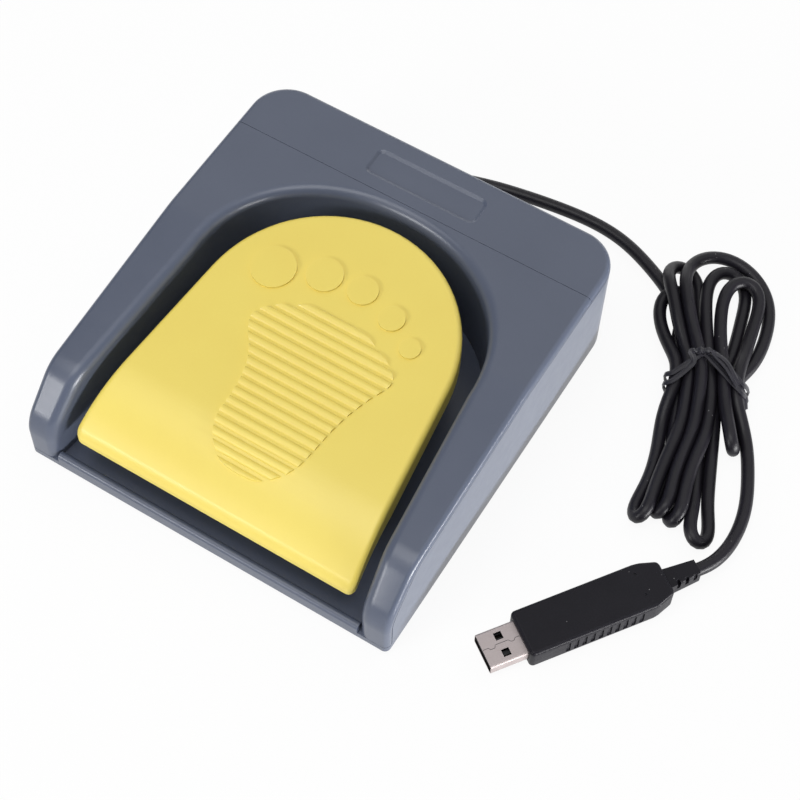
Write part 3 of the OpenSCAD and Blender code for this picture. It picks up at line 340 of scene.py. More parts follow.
plugAngle = 54.8  # how the plug lies on the floor
housingLook = {
    "deep": srgb(82, 89, 106), "pale": srgb(87, 94, 111), "rubAndSheenTone": srgb(108, 115, 132),
    "rough": (0.28, 0.33), "pits": 2300, "drift": 34, "bump": 0.20, "depth": 0.05,
    "rubAndSheenWidth": 0.5, "rubAndSheen": 0.35,
}
pedalLook = {
    "deep": srgb(235, 212, 102), "pale": srgb(239, 218, 107), "rubAndSheenTone": srgb(246, 232, 148),
    "rough": (0.32, 0.38), "pits": 2100, "drift": 30, "bump": 0.16, "depth": 0.05,
    "rubAndSheenWidth": 0.45, "rubAndSheen": 0.45,
}
cordLook = {
    "deep": srgb(17, 15, 22), "pale": srgb(24, 22, 30), "rubAndSheenTone": srgb(50, 49, 56),
    "rough": (0.36, 0.48), "pits": 3200, "drift": 60, "bump": 0.18, "depth": 0.03,
    "rubAndSheenWidth": 0.2, "rubAndSheen": 0.0, "lint": 0.010, "specular": 0.34,
}
plugLook = {
    "deep": srgb(22, 21, 27), "pale": srgb(29, 28, 34), "rubAndSheenTone": srgb(62, 61, 69),
    "rough": (0.34, 0.46), "pits": 3000, "drift": 70, "bump": 0.3, "depth": 0.04,
    "rubAndSheenWidth": 0.35, "rubAndSheen": 0.45, "lint": 0.012, "specular": 0.16,
}
rubberLook = {
    "deep": srgb(38, 38, 41), "pale": srgb(50, 50, 53), "rubAndSheenTone": srgb(78, 78, 80),
    "rough": (0.66, 0.84), "pits": 1900, "drift": 90, "bump": 0.45, "depth": 0.06,
    "rubAndSheenWidth": 0.5, "rubAndSheen": 0.4, "specular": 0.3,
}
tieLook = {
    "deep": srgb(30, 29, 36), "pale": srgb(40, 39, 47), "rubAndSheenTone": srgb(86, 84, 95),
    "rough": (0.32, 0.46), "pits": 3600, "drift": 140, "bump": 0.15, "depth": 0.02,
    "rubAndSheenWidth": 0.2, "rubAndSheen": 0.55,
}
blackPartLook = {
    "deep": srgb(30, 30, 33), "pale": srgb(42, 42, 45), "rubAndSheenTone": srgb(80, 80, 84),
    "rough": (0.46, 0.64), "pits": 4200, "drift": 160, "bump": 0.25, "depth": 0.02,
    "rubAndSheenWidth": 0.12, "rubAndSheen": 0.5,
}
redPartLook = {
    "deep": srgb(164, 30, 30), "pale": srgb(188, 42, 38), "rubAndSheenTone": srgb(214, 84, 76),
    "rough": (0.38, 0.52), "pits": 4200, "drift": 200, "bump": 0.15, "depth": 0.02,
    "rubAndSheenWidth": 0.12, "rubAndSheen": 0.5,
}
whitePartLook = {
    "deep": srgb(214, 209, 196), "pale": srgb(230, 226, 214), "rubAndSheenTone": srgb(240, 237, 228),
    "rough": (0.40, 0.55), "pits": 4200, "drift": 160, "bump": 0.15, "depth": 0.02,
    "rubAndSheenWidth": 0.12, "rubAndSheen": 0.5,
}
ceramicLook = {
    "deep": srgb(166, 128, 92), "pale": srgb(188, 150, 112), "rubAndSheenTone": srgb(205, 172, 138),
    "rough": (0.5, 0.66), "pits": 6000, "drift": 400, "bump": 0.2, "depth": 0.01,
    "rubAndSheenWidth": 0.08, "rubAndSheen": 0.5,
}
shellLook = {
    "deep": srgb(179, 169, 168), "pale": srgb(191, 182, 181), "rubAndSheenTone": srgb(205, 198, 197),
    "rough": (0.54, 0.66), "turn": -plugAngle, "lines": 5200, "bump": 0.06, "rubAndSheenWidth": 0.12,
}
steelLook = {
    "deep": srgb(150, 150, 154), "pale": srgb(190, 190, 194), "rubAndSheenTone": srgb(222, 222, 224),
    "rough": (0.22, 0.36), "turn": 0.0, "lines": 5200, "bump": 0.10, "rubAndSheenWidth": 0.12,
}
brassLook = {
    "deep": srgb(196, 158, 74), "pale": srgb(226, 190, 102), "rubAndSheenTone": srgb(242, 216, 146),
    "rough": (0.20, 0.34), "turn": -plugAngle, "lines": 7000, "bump": 0.08, "rubAndSheenWidth": 0.08,
}

plasticLooks = {
    "housingGrey": housingLook, "pedalYellow": pedalLook, "cordBlack": cordLook, "plugBlack": plugLook,
    "footRubber": rubberLook, "tieFilm": tieLook, "partBlack": blackPartLook, "partRed": redPartLook,
    "partWhite": whitePartLook, "ceramic": ceramicLook,
}
metalLooks = {
    "shellSteel": shellLook,
    # painted shade: a near-black copy of the shell steel for its inner walls
    "shellInsidePaintedShade": dict(shellLook, deep=srgb(34, 31, 31), pale=srgb(44, 41, 41)),
    "plainSteel": steelLook, "contactBrass": brassLook,
}
finishes = {name: plasticFinish(name, look) for name, look in plasticLooks.items()}
finishes.update((name, metalFinish(name, look)) for name, look in metalLooks.items())
boardLook = {
    "deep": srgb(22, 74, 44), "pale": srgb(34, 96, 58), "run": srgb(70, 138, 84),
    "rough": (0.26, 0.4), "pits": 5000, "drift": 120, "bump": 0.5, "depth": 0.04,
    "runs": {"Scale": 90.0, "Mortar Size": 0.035, "Mortar Smooth": 0.2,
             "Brick Width": 0.9, "Row Height": 0.16},
    "shift": 0.37, "clouds": 130, "copper": (0.42, 0.5),
}
contactLook = {"paintedShade": srgb(28, 25, 22), "plated": (9.4, 10.4)}  # painted shade on the contacts; the brass gives way to it over this span, mm along the plug's direction


# circuit board: green mask over copper runs
def boardFinish():
    finish, tree, shader = newFinish("boardGreen")
    spot = place(tree, "ShaderNodeTexCoord", -1100, 0).outputs["Object"]
    runs = place(tree, "ShaderNodeTexBrick", -800, 100, offset=boardLook["shift"], squash=1.0)
    feed(runs, "Vector", spot)
    for title, value in boardLook["runs"].items():
        feed(runs, title, value)
    cloud = noise(tree, boardLook["clouds"], 3, spot, -800, -300)
    laid = ranged(tree, cloud, *boardLook["copper"], 0, 1, -600, -300)
    copper = sums(tree, "MULTIPLY", runs.outputs["Fac"], laid, -400, 0)
    grain = useGroup(tree, mouldGrain, -800, -550,
                     **{"Pits per metre": boardLook["pits"], "Drift per metre": boardLook["drift"]})
    mask = mixColour(tree, grain.outputs["Tone"], boardLook["deep"], boardLook["pale"], -400, 300)
    feed(shader, "Base Color", mixColour(tree, copper, mask, boardLook["run"], 0, 200))
    rough = ranged(tree, grain.outputs["Gloss"], *grainSpan, *boardLook["rough"], -200, -400)
    feed(shader, "Roughness", rough)
    bumpInto(tree, shader, copper, boardLook["bump"], boardLook["depth"] * mm)
    return finish


# plug contacts: brass at the mouth, painted shade further in
def contactFinish():
    finish = metalFinish("plugContact", brassLook)
    tree = finish.node_tree
    shader = tree.nodes["Principled BSDF"]
    plated = shader.inputs["Base Color"].links[0].from_socket
    spot = place(tree, "ShaderNodeTexCoord", -600, 600).outputs["Object"]
    along = place(tree, "ShaderNodeVectorMath", -400, 600, operation="DOT_PRODUCT")
    feed(along, 0, spot)
    feed(along, 1, (math.cos(math.radians(plugAngle)), math.sin(math.radians(plugAngle)), 0))
    near, far = contactLook["plated"]
    inside = ranged(tree, along.outputs["Value"], near * mm, far * mm, 0, 1, -200, 600)
    feed(shader, "Base Color", mixColour(tree, inside, plated, contactLook["paintedShade"], 500, 400))
    return finish


finishes["boardGreen"] = boardFinish()
finishes["plugContact"] = contactFinish()
print("finishes:", len(finishes))


# floor, light and backdrop

light = {
    "ambient": 0.12,
    "aim": (0.02, 0.01, 0.02),
    "lamps": {
        "front": {"toward": (-0.40, -0.85, 0.34), "away": 1.3, "size": (0.5, 0.32), "power": 6.4},
        "sheen": {"toward": (-0.22, -0.58, 0.79), "away": 1.3, "size": (0.5, 0.6), "power": 1.1},
        "over": {"toward": (0.0, -0.22, 0.975), "away": 1.3, "size": (1.2, 0.7), "power": 8.5},
        "behind": {"toward": (0.0, 0.616, 0.788), "away": 1.3, "size": (2.2, 1.1), "power": 6.4},
        "right": {"toward": (0.97, -0.10, 0.01), "away": 1.2, "size": (1.0, 0.05), "power": 22.0},
        "back": {"toward": (-0.35, 0.93, 0.13), "away": 1.3, "size": (1.6, 0.3), "power": 3.8},
    },
}
floorLook = {"size": 6, "drop": 0.0002, "tone": 0.92, "glow": 0.92}


def buildStage():
    world = bpy.data.worlds.new("studio")
    world.use_nodes = True
    bpy.context.scene.world = world
    tree = world.node_tree
    tree.nodes.clear()
    path = place(tree, "ShaderNodeLightPath", -600)
    seen = sums(tree, "MAXIMUM", path.outputs["Is Camera Ray"], path.outputs["Is Transmission Ray"], -300)
    back = place(tree, "ShaderNodeBackground", 0)
    feed(back, "Color", (1, 1, 1, 1))
    feed(back, "Strength", ranged(tree, seen, 0, 1, light["ambient"], 1.0, -100))
    out = place(tree, "ShaderNodeOutputWorld", 300)
    tree.links.new(back.outputs[0], out.inputs[0])

    for name, lamp in light["lamps"].items():
        toward = Vector(lamp["toward"]).normalized()
        data = bpy.data.lights.new(name + "Softbox", "AREA")
        data.shape = "RECTANGLE"
        data.size, data.size_y = lamp["size"]
        data.energy = lamp["power"]
        box = bpy.data.objects.new(name + "Softbox", data)
        bpy.context.scene.collection.objects.link(box)
        box.matrix_world = (Matrix.Translation(Vector(light["aim"]) + toward * lamp["away"])
                            @ toward.to_track_quat("Z", "Y").to_matrix().to_4x4())

    bpy.ops.mesh.primitive_plane_add(size=floorLook["size"], location=(0, 0, -floorLook["drop"]))
    floor = bpy.context.active_object
    floor.name = "paperFloor"
    paper = bpy.data.materials.new("paper")
    paper.use_nodes = True
    tree = paper.node_tree
    tree.nodes.clear()
    path = place(tree, "ShaderNodeLightPath", -800)
    seen = sums(tree, "MAXIMUM", path.outputs["Is Camera Ray"], path.outputs["Is Glossy Ray"], -600)
    seen = sums(tree, "MAXIMUM", seen, path.outputs["Is Transmission Ray"], -400)
    matt = place(tree, "ShaderNodeBsdfDiffuse", -200, -100)
    feed(matt, "Color", (*[floorLook["tone"]] * 3, 1))
    glow = place(tree, "ShaderNodeEmission", -200, -300)
    feed(glow, "Color", (1, 1, 1, 1))
    feed(glow, "Strength", 1.0)
    mix = place(tree, "ShaderNodeMixShader", 100)
    feed(mix, 0, sums(tree, "MULTIPLY", seen, floorLook["glow"], -200, 100))
    tree.links.new(matt.outputs[0], mix.inputs[1])
    tree.links.new(glow.outputs[0], mix.inputs[2])
    out = place(tree, "ShaderNodeOutputMaterial", 300)
    tree.links.new(mix.outputs[0], out.inputs[0])
    floor.data.materials.append(paper)
    bpy.context.scene.view_settings.view_transform = "Standard"


buildStage()
print("stage and lights set")


# tubes and ribbons along a path, with a UV map of metres along by share round

sweep = {"aside": (0.3, 0.2, 1.0), "smooth": 50}  # a direction no path starts in; degrees
pathParts = 12  # points between two given ones


def unitRows(rows):
    return rows / np.linalg.norm(rows, axis=1, keepdims=True)


def sweepSection(name, path, section, outward=None):
    path = np.asarray(path, float)
    section = np.asarray(section, float)
    along = unitRows(np.gradient(path, axis=0))
    if outward is None:  # carry one direction along without twist
        up = np.zeros_like(path)
        first = np.cross(along[0], sweep["aside"])
        up[0] = first / np.linalg.norm(first)
        for i in range(1, len(path)):
            turned = up[i - 1] - along[i] * np.dot(up[i - 1], along[i])
            up[i] = turned / np.linalg.norm(turned)
    else:
        outward = np.asarray(outward, float)
        up = unitRows(outward - along * (outward * along).sum(1, keepdims=True))
    side = np.cross(along, up)
    rings = path[:, None] + section[None, :, :1] * side[:, None] + section[None, :, 1:] * up[:, None]
    n, k = len(path), len(section)
    faces = [(i * k + j, i * k + (j + 1) % k, (i + 1) * k + (j + 1) % k, (i + 1) * k + j)
             for i in range(n - 1) for j in range(k)]
    faces.append(tuple(range(k - 1, -1, -1)))
    faces.append(tuple((n - 1) * k + j for j in range(k)))
    mesh = bpy.data.meshes.new(name)
    mesh.from_pydata((rings.reshape(-1, 3) * mm).tolist(), [], faces)
    runs = np.r_[0, np.cumsum(np.linalg.norm(np.diff(path, axis=0), axis=1))] * mm
    wrap = mesh.uv_layers.new(name="alongCord")
    for face in mesh.polygons:
        for corner in face.loop_indices:
            vertex = mesh.loops[corner].vertex_index
            share = (vertex % k) / k
            if face.index < (n - 1) * k and share == 0 and face.index % k == k - 1:
                share = 1.0
            wrap.data[corner].uv = (runs[vertex // k], share)
    piece = bpy.data.objects.new(name, mesh)
    bpy.context.scene.collection.objects.link(piece)
    pick(piece)
    bpy.ops.object.mode_set(mode="EDIT")
    bpy.ops.mesh.select_all(action="SELECT")
    bpy.ops.mesh.normals_make_consistent(inside=False)
    bpy.ops.object.mode_set(mode="OBJECT")
    bpy.ops.object.shade_smooth_by_angle(angle=math.radians(sweep["smooth"]))
    return piece


def circleSection(radius, sides):
    turn = np.arange(sides) * 2 * math.pi / sides
    return np.stack([radius * np.cos(turn), radius * np.sin(turn)], 1)


def smoothPath(points, step):
    given = np.asarray(points, float)
    p = np.vstack([2 * given[0] - given[1], given, 2 * given[-1] - given[-2]])
    out = []
    for a, b, c, d in zip(p[:-3], p[1:-2], p[2:-1], p[3:]):
        t1 = np.linalg.norm(b - a) ** 0.5
        t2 = t1 + np.linalg.norm(c - b) ** 0.5
        t3 = t2 + np.linalg.norm(d - c) ** 0.5
        for t in t1 + (t2 - t1) * np.arange(pathParts) / pathParts:
            a1 = (t1 - t) / t1 * a + t / t1 * b
            a2 = (t2 - t) / (t2 - t1) * b + (t - t1) / (t2 - t1) * c
            a3 = (t3 - t) / (t3 - t2) * c + (t - t2) / (t3 - t2) * d
            b1 = (t2 - t) / t2 * a1 + t / t2 * a2
            b2 = (t3 - t) / (t3 - t1) * a2 + (t - t1) / (t3 - t1) * a3
            out.append((t2 - t) / (t2 - t1) * b1 + (t - t1) / (t2 - t1) * b2)
    out = np.array(out + [given[-1]])
    run = np.r_[0, np.cumsum(np.linalg.norm(np.diff(out, axis=0), axis=1))]
    even = np.linspace(0, run[-1], int(round(run[-1] / step)) + 1)
    return np.stack([np.interp(even, run, out[:, k]) for k in range(3)], 1)


# the cord, from the boot in the back to the plug, folded into a hank

hank = {
    "middle": (107.8, 59.0), "turn": 110.0,  # the hank's own frame on the floor
    "cordSize": 4.4, "sides": 18, "step": 3.0, "fineStep": 1.5, "eased": 4,
    "waistAt": 5.0, "waistHalf": 6.0, "waistLeft": -9.4, "waistRight": 10.6, "waistTop": 10.6,
    "tieLift": 0.6, "liftHalf": 7, "clear": 0.14,  # over the tie's underside, and over the floor
}
settle = {
    "rounds": 180, "held": 6, "along": 1.9,  # points held at each end; diameters along that may be near
    "bend": 0.35, "ease": 0.02, "home": 0.012, "weight": 0.02, "tie": 0.3, "touch": 0.35,
    "leastChord": 5.6, "chordParts": 4, "open": 0.2,  # mm across four parts of a fold, and its push
}
leadRoute = [
    (-28, 76.5, 9), (-28, 80.5, 9), (-27.6, 84.5, 8.6), (-25, 88.2, 7), (-20, 90.6, 5),
    (-13, 92.8, 3.2), (-6, 95, 2.4), (1.9, 97.8, 2.2), (6.2, 99, 2.2), (13.6, 100.3, 2.2),
    (20.9, 101.7, 2.2), (28.3, 102.7, 2.2), (35.9, 103.6, 2.2), (43.7, 103.9, 2.2),
    (51.9, 103.4, 2.2), (56.4, 102.4, 2.2), (61.2, 100.7, 2.2), (66.4, 98.4, 2.2),
    (71.7, 95.9, 2.2),
]
tailRoute = [
    (134.3, 40.5, 2.3), (138.3, 32, 2.3), (140.1, 24, 2.3), (140.2, 16.5, 2.7),
    (139.2, 9.6, 3.8), (137.568, 4.914, 4.6), (135.262, 1.646, 4.6), (133.533, -0.806, 4.6),
]
hankRoute = [  # along the hank, across it, height
    (43, -17.3, 2.2), (36, -13, 2.2), (30, -9.8, 2.2), (20, -6.4, 2.2), (5, -4.2, 2.8),
    (-12, -3.2, 2.3), (-28, -2.8, 2.2), (-38, -3.4, 2.2), (-45, -4.2, 2.3),
    (-49.5, -4.6, 4.4), (-45.5, -3.8, 6.6),  # in under all
    (-38.2, -2, 6.6), (-31, -0.8, 6.5), (-16, 2.4, 6.8), (-3, 3, 7), (5, 2.4, 6.8),
    (14.5, 0.4, 6.8), (27, -2.2, 7), (39.5, -3.4, 7), (46.4, -2.2, 7), (51, 0.6, 6.6),
    (52.4, 4.6, 5.6), (49, 8.6, 4.6),  # middle loop
    (43, 9.8, 3.4), (35, 9.4, 2.6), (24, 9, 2.3), (14, 7.4, 2.3), (5, 4.6, 2.8),
    (-8, 5.6, 2.3), (-24, 6, 2.3), (-40, 6.4, 2.3), (-48, 6.8, 2.4), (-53, 6.4, 3.2),
    (-55, 5.4, 4.6), (-52.8, 4.4, 6.2), (-46, 3.8, 6.2), (-40, 3.2, 4.4), (-34, 2.6, 2.6),
    (-28, 1.9, 2.2), (-12, 1, 2.3), (5, 0.2, 2.8),  # long low fold
    (16, -1.6, 2.3), (26, -3.4, 2.3), (36, -5, 2.8), (44, -6.6, 4), (50, -9.2, 5.2),
    (52, -13.4, 5.8), (48, -16.6, 6.2), (42.5, -15.6, 7), (34, -13, 8.2), (22.5, -9.4, 8.4),
    (13, -6.8, 7.6),  # left loop
    (5, -5.2, 7), (-1, -4.8, 6.9), (-12, -5, 6.8), (-24, -6.6, 6.6), (-32.7, -9.4, 6.5),
    (-42, -12.2, 6.6), (-48, -14.2, 6.2), (-50.2, -14.6, 4.4), (-47, -14.4, 2.4),
    (-40, -13.8, 2.2), (-31, -12.3, 2.3), (-20, -11.2, 2.6), (-10, -9.9, 3.8),
    (-1, -9.6, 5.8), (5, -9.4, 6.8),  # left fold
    (12, -10.8, 6.4), (20, -14.2, 5.6), (27, -17.2, 5), (32.5, -17.9, 5.2), (38, -16.8, 6),
    (41, -14.4, 6.7), (38.4, -11, 6.6), (32, -9.8, 6.4), (26, -10.2, 5.4), (18, -10.4, 3.6),
    (10, -9.2, 2.6),  # small left ear
    (5, -8.6, 2.8), (-8, -7.6, 2.3), (-22, -7.2, 2.2), (-36, -7.6, 2.2), (-43, -8.2, 2.3),
    (-47.4, -8.2, 4.4), (-44.5, -7, 6.6), (-41.6, -6.4, 6.8), (-32.5, -5.2, 6.6),
    (-24, -3.8, 6.8), (-14, -1.6, 8.2), (-2, -1.2, 9.6),  # second fold
    (5, -1.6, 9.8), (14, -3.8, 9.8), (22.6, -6.6, 10), (38.3, -11.3, 9), (46, -11.4, 8.4),
    (52, -9, 7.8), (55.9, -4.4, 7.2), (57, 1.2, 6.4), (54.8, 8.4, 5.4), (49.6, 15, 4.2),
    (40.3, 18.8, 3),  # top loop
    (28, 18.2, 2.4), (15, 15.6, 2.2), (6.5, 10.6, 2.6), (0, 9.2, 2.6), (-6, 9.8, 2.4),
    (-12, 11.6, 2.3), (-17, 12.4, 2.6), (-19.4, 12.6, 4.6), (-16.4, 12, 6.8),
    (-11, 10.6, 7.8), (-6.3, 8.4, 8.5),  # short right fold
    (0, 6.6, 8.8), (5, 5.6, 9), (12, 4.4, 9), (21, 3.2, 8.8), (34.6, 2.6, 8.4),
    (42, 4, 8.2), (47.4, 7.2, 8), (48.2, 10.6, 7.6), (45, 13.4, 7.2), (40.8, 14, 7),
    (30, 13.4, 6.2), (18.8, 12.6, 5.4),  # right loop
    (11, 12, 5.8), (5, 11.2, 6), (-1, 12.4, 4.8), (-6.9, 15.2, 3), (-14, 17.2, 2.3),  # out to the plug
]
hankTurn = math.radians(hank["turn"])
hankAlong = np.array([math.cos(hankTurn), math.sin(hankTurn)])
hankAcross = np.array([math.sin(hankTurn), -math.cos(hankTurn)])


def fromHank(s, v, z):
    x, y = np.array(hank["middle"]) + s * hankAlong + v * hankAcross
    return x, y, z


def toHank(points):
    flat = points[:, :2] - np.array(hank["middle"])
    return flat @ hankAlong, flat @ hankAcross


# bends, weight, contact with itself and the floor, the pull of the tie, constant length
def settleCord(points):
    p = points.copy()
    home, n, size = points.copy(), len(points), hank["cordSize"]
    rest = np.linalg.norm(np.diff(p, axis=0), axis=1).mean()
    order = np.arange(n)
    near = abs(order[:, None] - order[None]) < math.ceil(settle["along"] * size / rest)
    held = np.r_[0:settle["held"], n - settle["held"]:n]
    span = settle["chordParts"]
    for turn in range(settle["rounds"]):
        lap = np.zeros_like(p)
        lap[1:-1] = (p[:-2] + p[2:]) / 2 - p[1:-1]
        bend = np.zeros_like(p)
        bend[1:-1] = (lap[:-2] + lap[2:]) / 2 - lap[1:-1]
        p = p - settle["bend"] * bend + settle["ease"] * lap + settle["home"] * (home - p)
        p[:, 2] -= settle["weight"]
        s, v = toHank(p)
        tied = abs(s - hank["waistAt"]) < hank["waistHalf"]
        inward = np.clip(v, hank["waistLeft"], hank["waistRight"]) - v
        p[tied, :2] += settle["tie"] * inward[tied, None] * hankAcross
        p[tied, 2] += settle["tie"] * np.minimum(hank["waistTop"] - p[tied, 2], 0)
        lifted = abs(s - hank["waistAt"]) < hank["liftHalf"]
        low = size / 2 + hank["clear"] + np.where(lifted, hank["tieLift"], 0)
        for again in range(2):
            gap = p[:, None, :] - p[None, :, :]
            far = np.sqrt((gap ** 2).sum(2)) + 1e-9
            short = np.clip(size - far, 0, None)
            short[near] = 0
            p = p + (gap / far[..., None] * short[..., None]).sum(1) * settle["touch"]
            p[:, 2] = np.maximum(p[:, 2], low)
            chord = p[span:] - p[:-span]
            reach = np.linalg.norm(chord, axis=1, keepdims=True)
            push = chord / reach * np.clip(settle["leastChord"] - reach, 0, None) * settle["open"]
            p[span:] += push
            p[:-span] -= push
            for start in (0, 1):
                i = np.arange(start, n - 1, 2)
                run = p[i + 1] - p[i]
                length = np.linalg.norm(run, axis=1, keepdims=True)
                fix = run * (length - rest) / length * 0.5
                p[i] += fix
                p[i + 1] -= fix
        p[held] = home[held]
    return p


def makeCord():
    route = leadRoute + [fromHank(*q) for q in hankRoute] + tailRoute
    path = smoothPath(settleCord(smoothPath(route, hank["step"])), hank["fineStep"])
    for again in range(hank["eased"]):
        path[1:-1] = (path[:-2] + 2 * path[1:-1] + path[2:]) / 4
    cord = sweepSection("cord", path, circleSection(hank["cordSize"] / 2, hank["sides"]))
    cord.data.materials.append(finishes["cordBlack"])
    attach(cord, "housing")
    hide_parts("cord_lead", "cord_hank", "cord_tail")
    return cord, path


cord, cordPath = makeCord()


# the twist tie: a flat band with a wire in it, twice round the waist, twisted on top, ends to the right

tie = {
    "wide": 1.9, "thick": 0.4, "wire": 0.36, "gap": 0.34,
    "knot": (12.7, -1.8), "left": (3.4, -11.1), "right": (1.9, 12.5), "under": 3.6,  # along, across the hank
    "wraps": 2, "apart": 3.4, "step": 0.6, "floor": 0.45, "eased": 3,
    "open": (3, 2),  # parts of the loop left to the twist
    "bindsAt": 1.5, "bindsHalf": 6.5, "discSides": 14, "upper": 5, "rise": (3.5, 4.5),
    "pinch": 0.75, "pinchHalf": 4.5,  # the wraps draw together at the knot
    "twists": 1.5, "twistParts": 26, "swing": 1.4, "swingStart": 0.15, "twistFlat": 0.3,
    "twistFrom": (0.0, 2.6, 1.5), "twistRun": (-0.6, -7.5, -1.2),
    "endRoute": [  # from where, along, across, height over, height, share of the ends' spacing
        ("right", -3.6, 2.2, "floor", 4.2, 0), ("right", -1.2, 0.9, "floor", 6.4, 1),
        ("right", 2.4, -3.2, "crest", -0.9, 1), ("knot", -4.4, 7.6, "crest", 0.5, 1),
        ("knot", -1.2, 3.6, "crest", 1.0, 0.5),
    ],
    "endFacing": (0.25, 0.35, 0.9), "ends": ((0.0, 0.0), (0.5, 2.1)),  # height, spacing
    "edgeShare": 0.7, "ribShare": 0.42, "underShare": 0.6,  # of the band's section
}


def convexHull(points):
    rows = sorted(set(map(tuple, np.round(points, 4))))

    def half(rows):
        out = []
        for q in rows:
            while len(out) > 1 and ((out[-1][0] - out[-2][0]) * (q[1] - out[-2][1])
                                    - (out[-1][1] - out[-2][1]) * (q[0] - out[-2][0])) <= 0:
                out.pop()
            out.append(q)
        return out[:-1]
    return np.array(half(rows) + half(rows[::-1]))


def evenLoop(points, step):
    closed = np.vstack([points, points[:1]])
    run = np.r_[0, np.cumsum(np.linalg.norm(np.diff(closed, axis=0), axis=1))]
    even = np.linspace(0, run[-1], int(run[-1] / step), endpoint=False)
    return np.stack([np.interp(even, run, closed[:, k]) for k in range(2)], 1)


def makeTie(path):
    s, v = toHank(path)
    near = abs(s - hank["waistAt"] - tie["bindsAt"]) < tie["bindsHalf"]
    turn = np.arange(tie["discSides"]) * 2 * math.pi / tie["discSides"]
    reach = hank["cordSize"] / 2 + tie["gap"]
    discs = np.stack([(v[near, None] + reach * np.cos(turn)).ravel(),
                      (path[near, 2, None] + reach * np.sin(turn)).ravel()], 1)
    loop = evenLoop(convexHull(discs), tie["step"])
    loop[:, 1] = np.maximum(loop[:, 1], tie["floor"])
    knotS, knotV = tie["knot"]
    top = np.where(loop[:, 1] > tie["upper"])[0]
    first = top[np.argmin(abs(loop[top, 0] - knotV))]
    loop = np.roll(loop, -first, axis=0)  # from the knot down the left side
    ahead, behind = np.roll(loop, -1, axis=0), np.roll(loop, 1, axis=0)
    flow = unitRows(ahead - behind)
    crest = loop[0, 1]
    bandS = np.interp(loop[:, 0], [tie["left"][1], knotV, tie["right"][1]],
                      [tie["left"][0], knotS, tie["right"][0]])
    rise = np.clip((loop[:, 1] - tie["rise"][0]) / (crest - tie["rise"][1]), 0, 1)
    bandS = tie["under"] + (bandS - tie["under"]) * rise * rise * (3 - 2 * rise)
    rows, out = [], []

    def add(s, v, z, normal):
        rows.append(fromHank(s, v, z))
        out.append(np.r_[normal[0] * hankAlong + normal[1] * hankAcross, normal[2]])

    def freeEnd(lift, apart):  # from its tip up to the twist
        over = {"floor": lift, "crest": crest}
        points = [(tie[spot][0] + along + apart * share, tie[spot][1] + across, over[level] + height)
                  for spot, along, across, level, height, share in tie["endRoute"]]
        return [(p, np.array(tie["endFacing"])) for p in smoothPath(points, tie["step"])]

    def twist(phase):
        points = []
        for t in np.linspace(0, 1, tie["twistParts"]):
            angle = 2 * math.pi * tie["twists"] * t + phase
            swing = tie["swing"] * math.sin(math.pi * min(1, tie["swingStart"] + t))
            middle = np.array([knotS, knotV, crest]) + tie["twistFrom"] + np.array(tie["twistRun"]) * t
            lift = np.array([tie["twistFlat"] * math.cos(angle), 0.0, math.sin(angle)])
            points.append((middle + swing * lift, lift + np.array([0, 0, 0.01])))  # never zero
        return points

    for point, normal in freeEnd(*tie["ends"][0]) + twist(0.0):
        add(*point, normal)
    count = len(loop)
    for i in range(tie["open"][0], tie["wraps"] * count - tie["open"][1]):
        share = i / count
        k = i % count
        close = math.exp(-((loop[k, 0] - knotV) / tie["pinchHalf"]) ** 2)
        side = 1 - tie["pinch"] * close * (loop[k, 1] > tie["upper"])
        shift = (share - tie["wraps"] / 2) * tie["apart"] * side
        add(bandS[k] + shift, loop[k, 0], loop[k, 1], (0, flow[k, 1], -flow[k, 0]))
    for point, normal in (freeEnd(*tie["ends"][1]) + twist(math.pi))[::-1]:
        add(*point, normal)
    rows, out = np.array(rows), np.array(out)
    for again in range(tie["eased"]):  # the joins between loop, twist and ends
        rows[1:-1] = rows[1:-1] * 0.5 + (rows[:-2] + rows[2:]) * 0.25
        out[1:-1] = out[1:-1] * 0.5 + (out[:-2] + out[2:]) * 0.25
    half, thin, core = tie["wide"] / 2, tie["thick"] / 2, tie["wire"]
    edge, rib = thin * tie["edgeShare"], half * tie["ribShare"]
    section = [(-half, -edge), (-rib, -thin), (0, -core * tie["underShare"]), (rib, -thin), (half, -edge),
               (half, edge), (rib, thin), (0, core), (-rib, thin), (-half, edge)]
    band = sweepSection("twistTie", rows, section, out)
    band.data.materials.append(finishes["tieFilm"])
    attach(band, "housing")
    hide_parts("twist_tie")
    return band


twistTie = makeTie(cordPath)
print("tie wound round the hank")


# return springs under the pedal, round wire with closed ends

spring = {
    "across": 28.0, "along": -28.0, "low": 6.2, "high": 27.95, "mean": 10.4, "wire": 1.0, "sides": 10,
    "turns": 7.0, "closed": 0.8, "closedPitch": 1.02, "partsPerTurn": 28,
}


def makeSpring(name, node, x):
    turns, closed, wire = spring["turns"], spring["closed"], spring["wire"]
    share = np.linspace(0, turns, int(turns * spring["partsPerTurn"]) + 1)
    low, high = spring["low"] + wire / 2, spring["high"] - wire / 2
    tight = wire * spring["closedPitch"]
    pitch = (high - low - 2 * closed * tight) / (turns - 2 * closed)
    rise = np.where(share < closed, share * tight, closed * tight + (share - closed) * pitch)
    rise = np.where(share > turns - closed, high - low - (turns - share) * tight, rise)
    angle = share * 2 * math.pi
    radius = spring["mean"] / 2
    path = np.stack([x + radius * np.cos(angle), spring["along"] + radius * np.sin(angle), low + rise], 1)
    coil = sweepSection(name, path, circleSection(wire / 2, spring["sides"]))
    coil.data.materials.append(finishes["plainSteel"])
    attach(coil, "housing")
    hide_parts(node)
    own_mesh(coil)


makeSpring("springLeft", "spring_left", -spring["across"])
makeSpring("springRight", "spring_right", spring["across"])


# lead inside the housing: the jacket, then its four wires fanned into the header

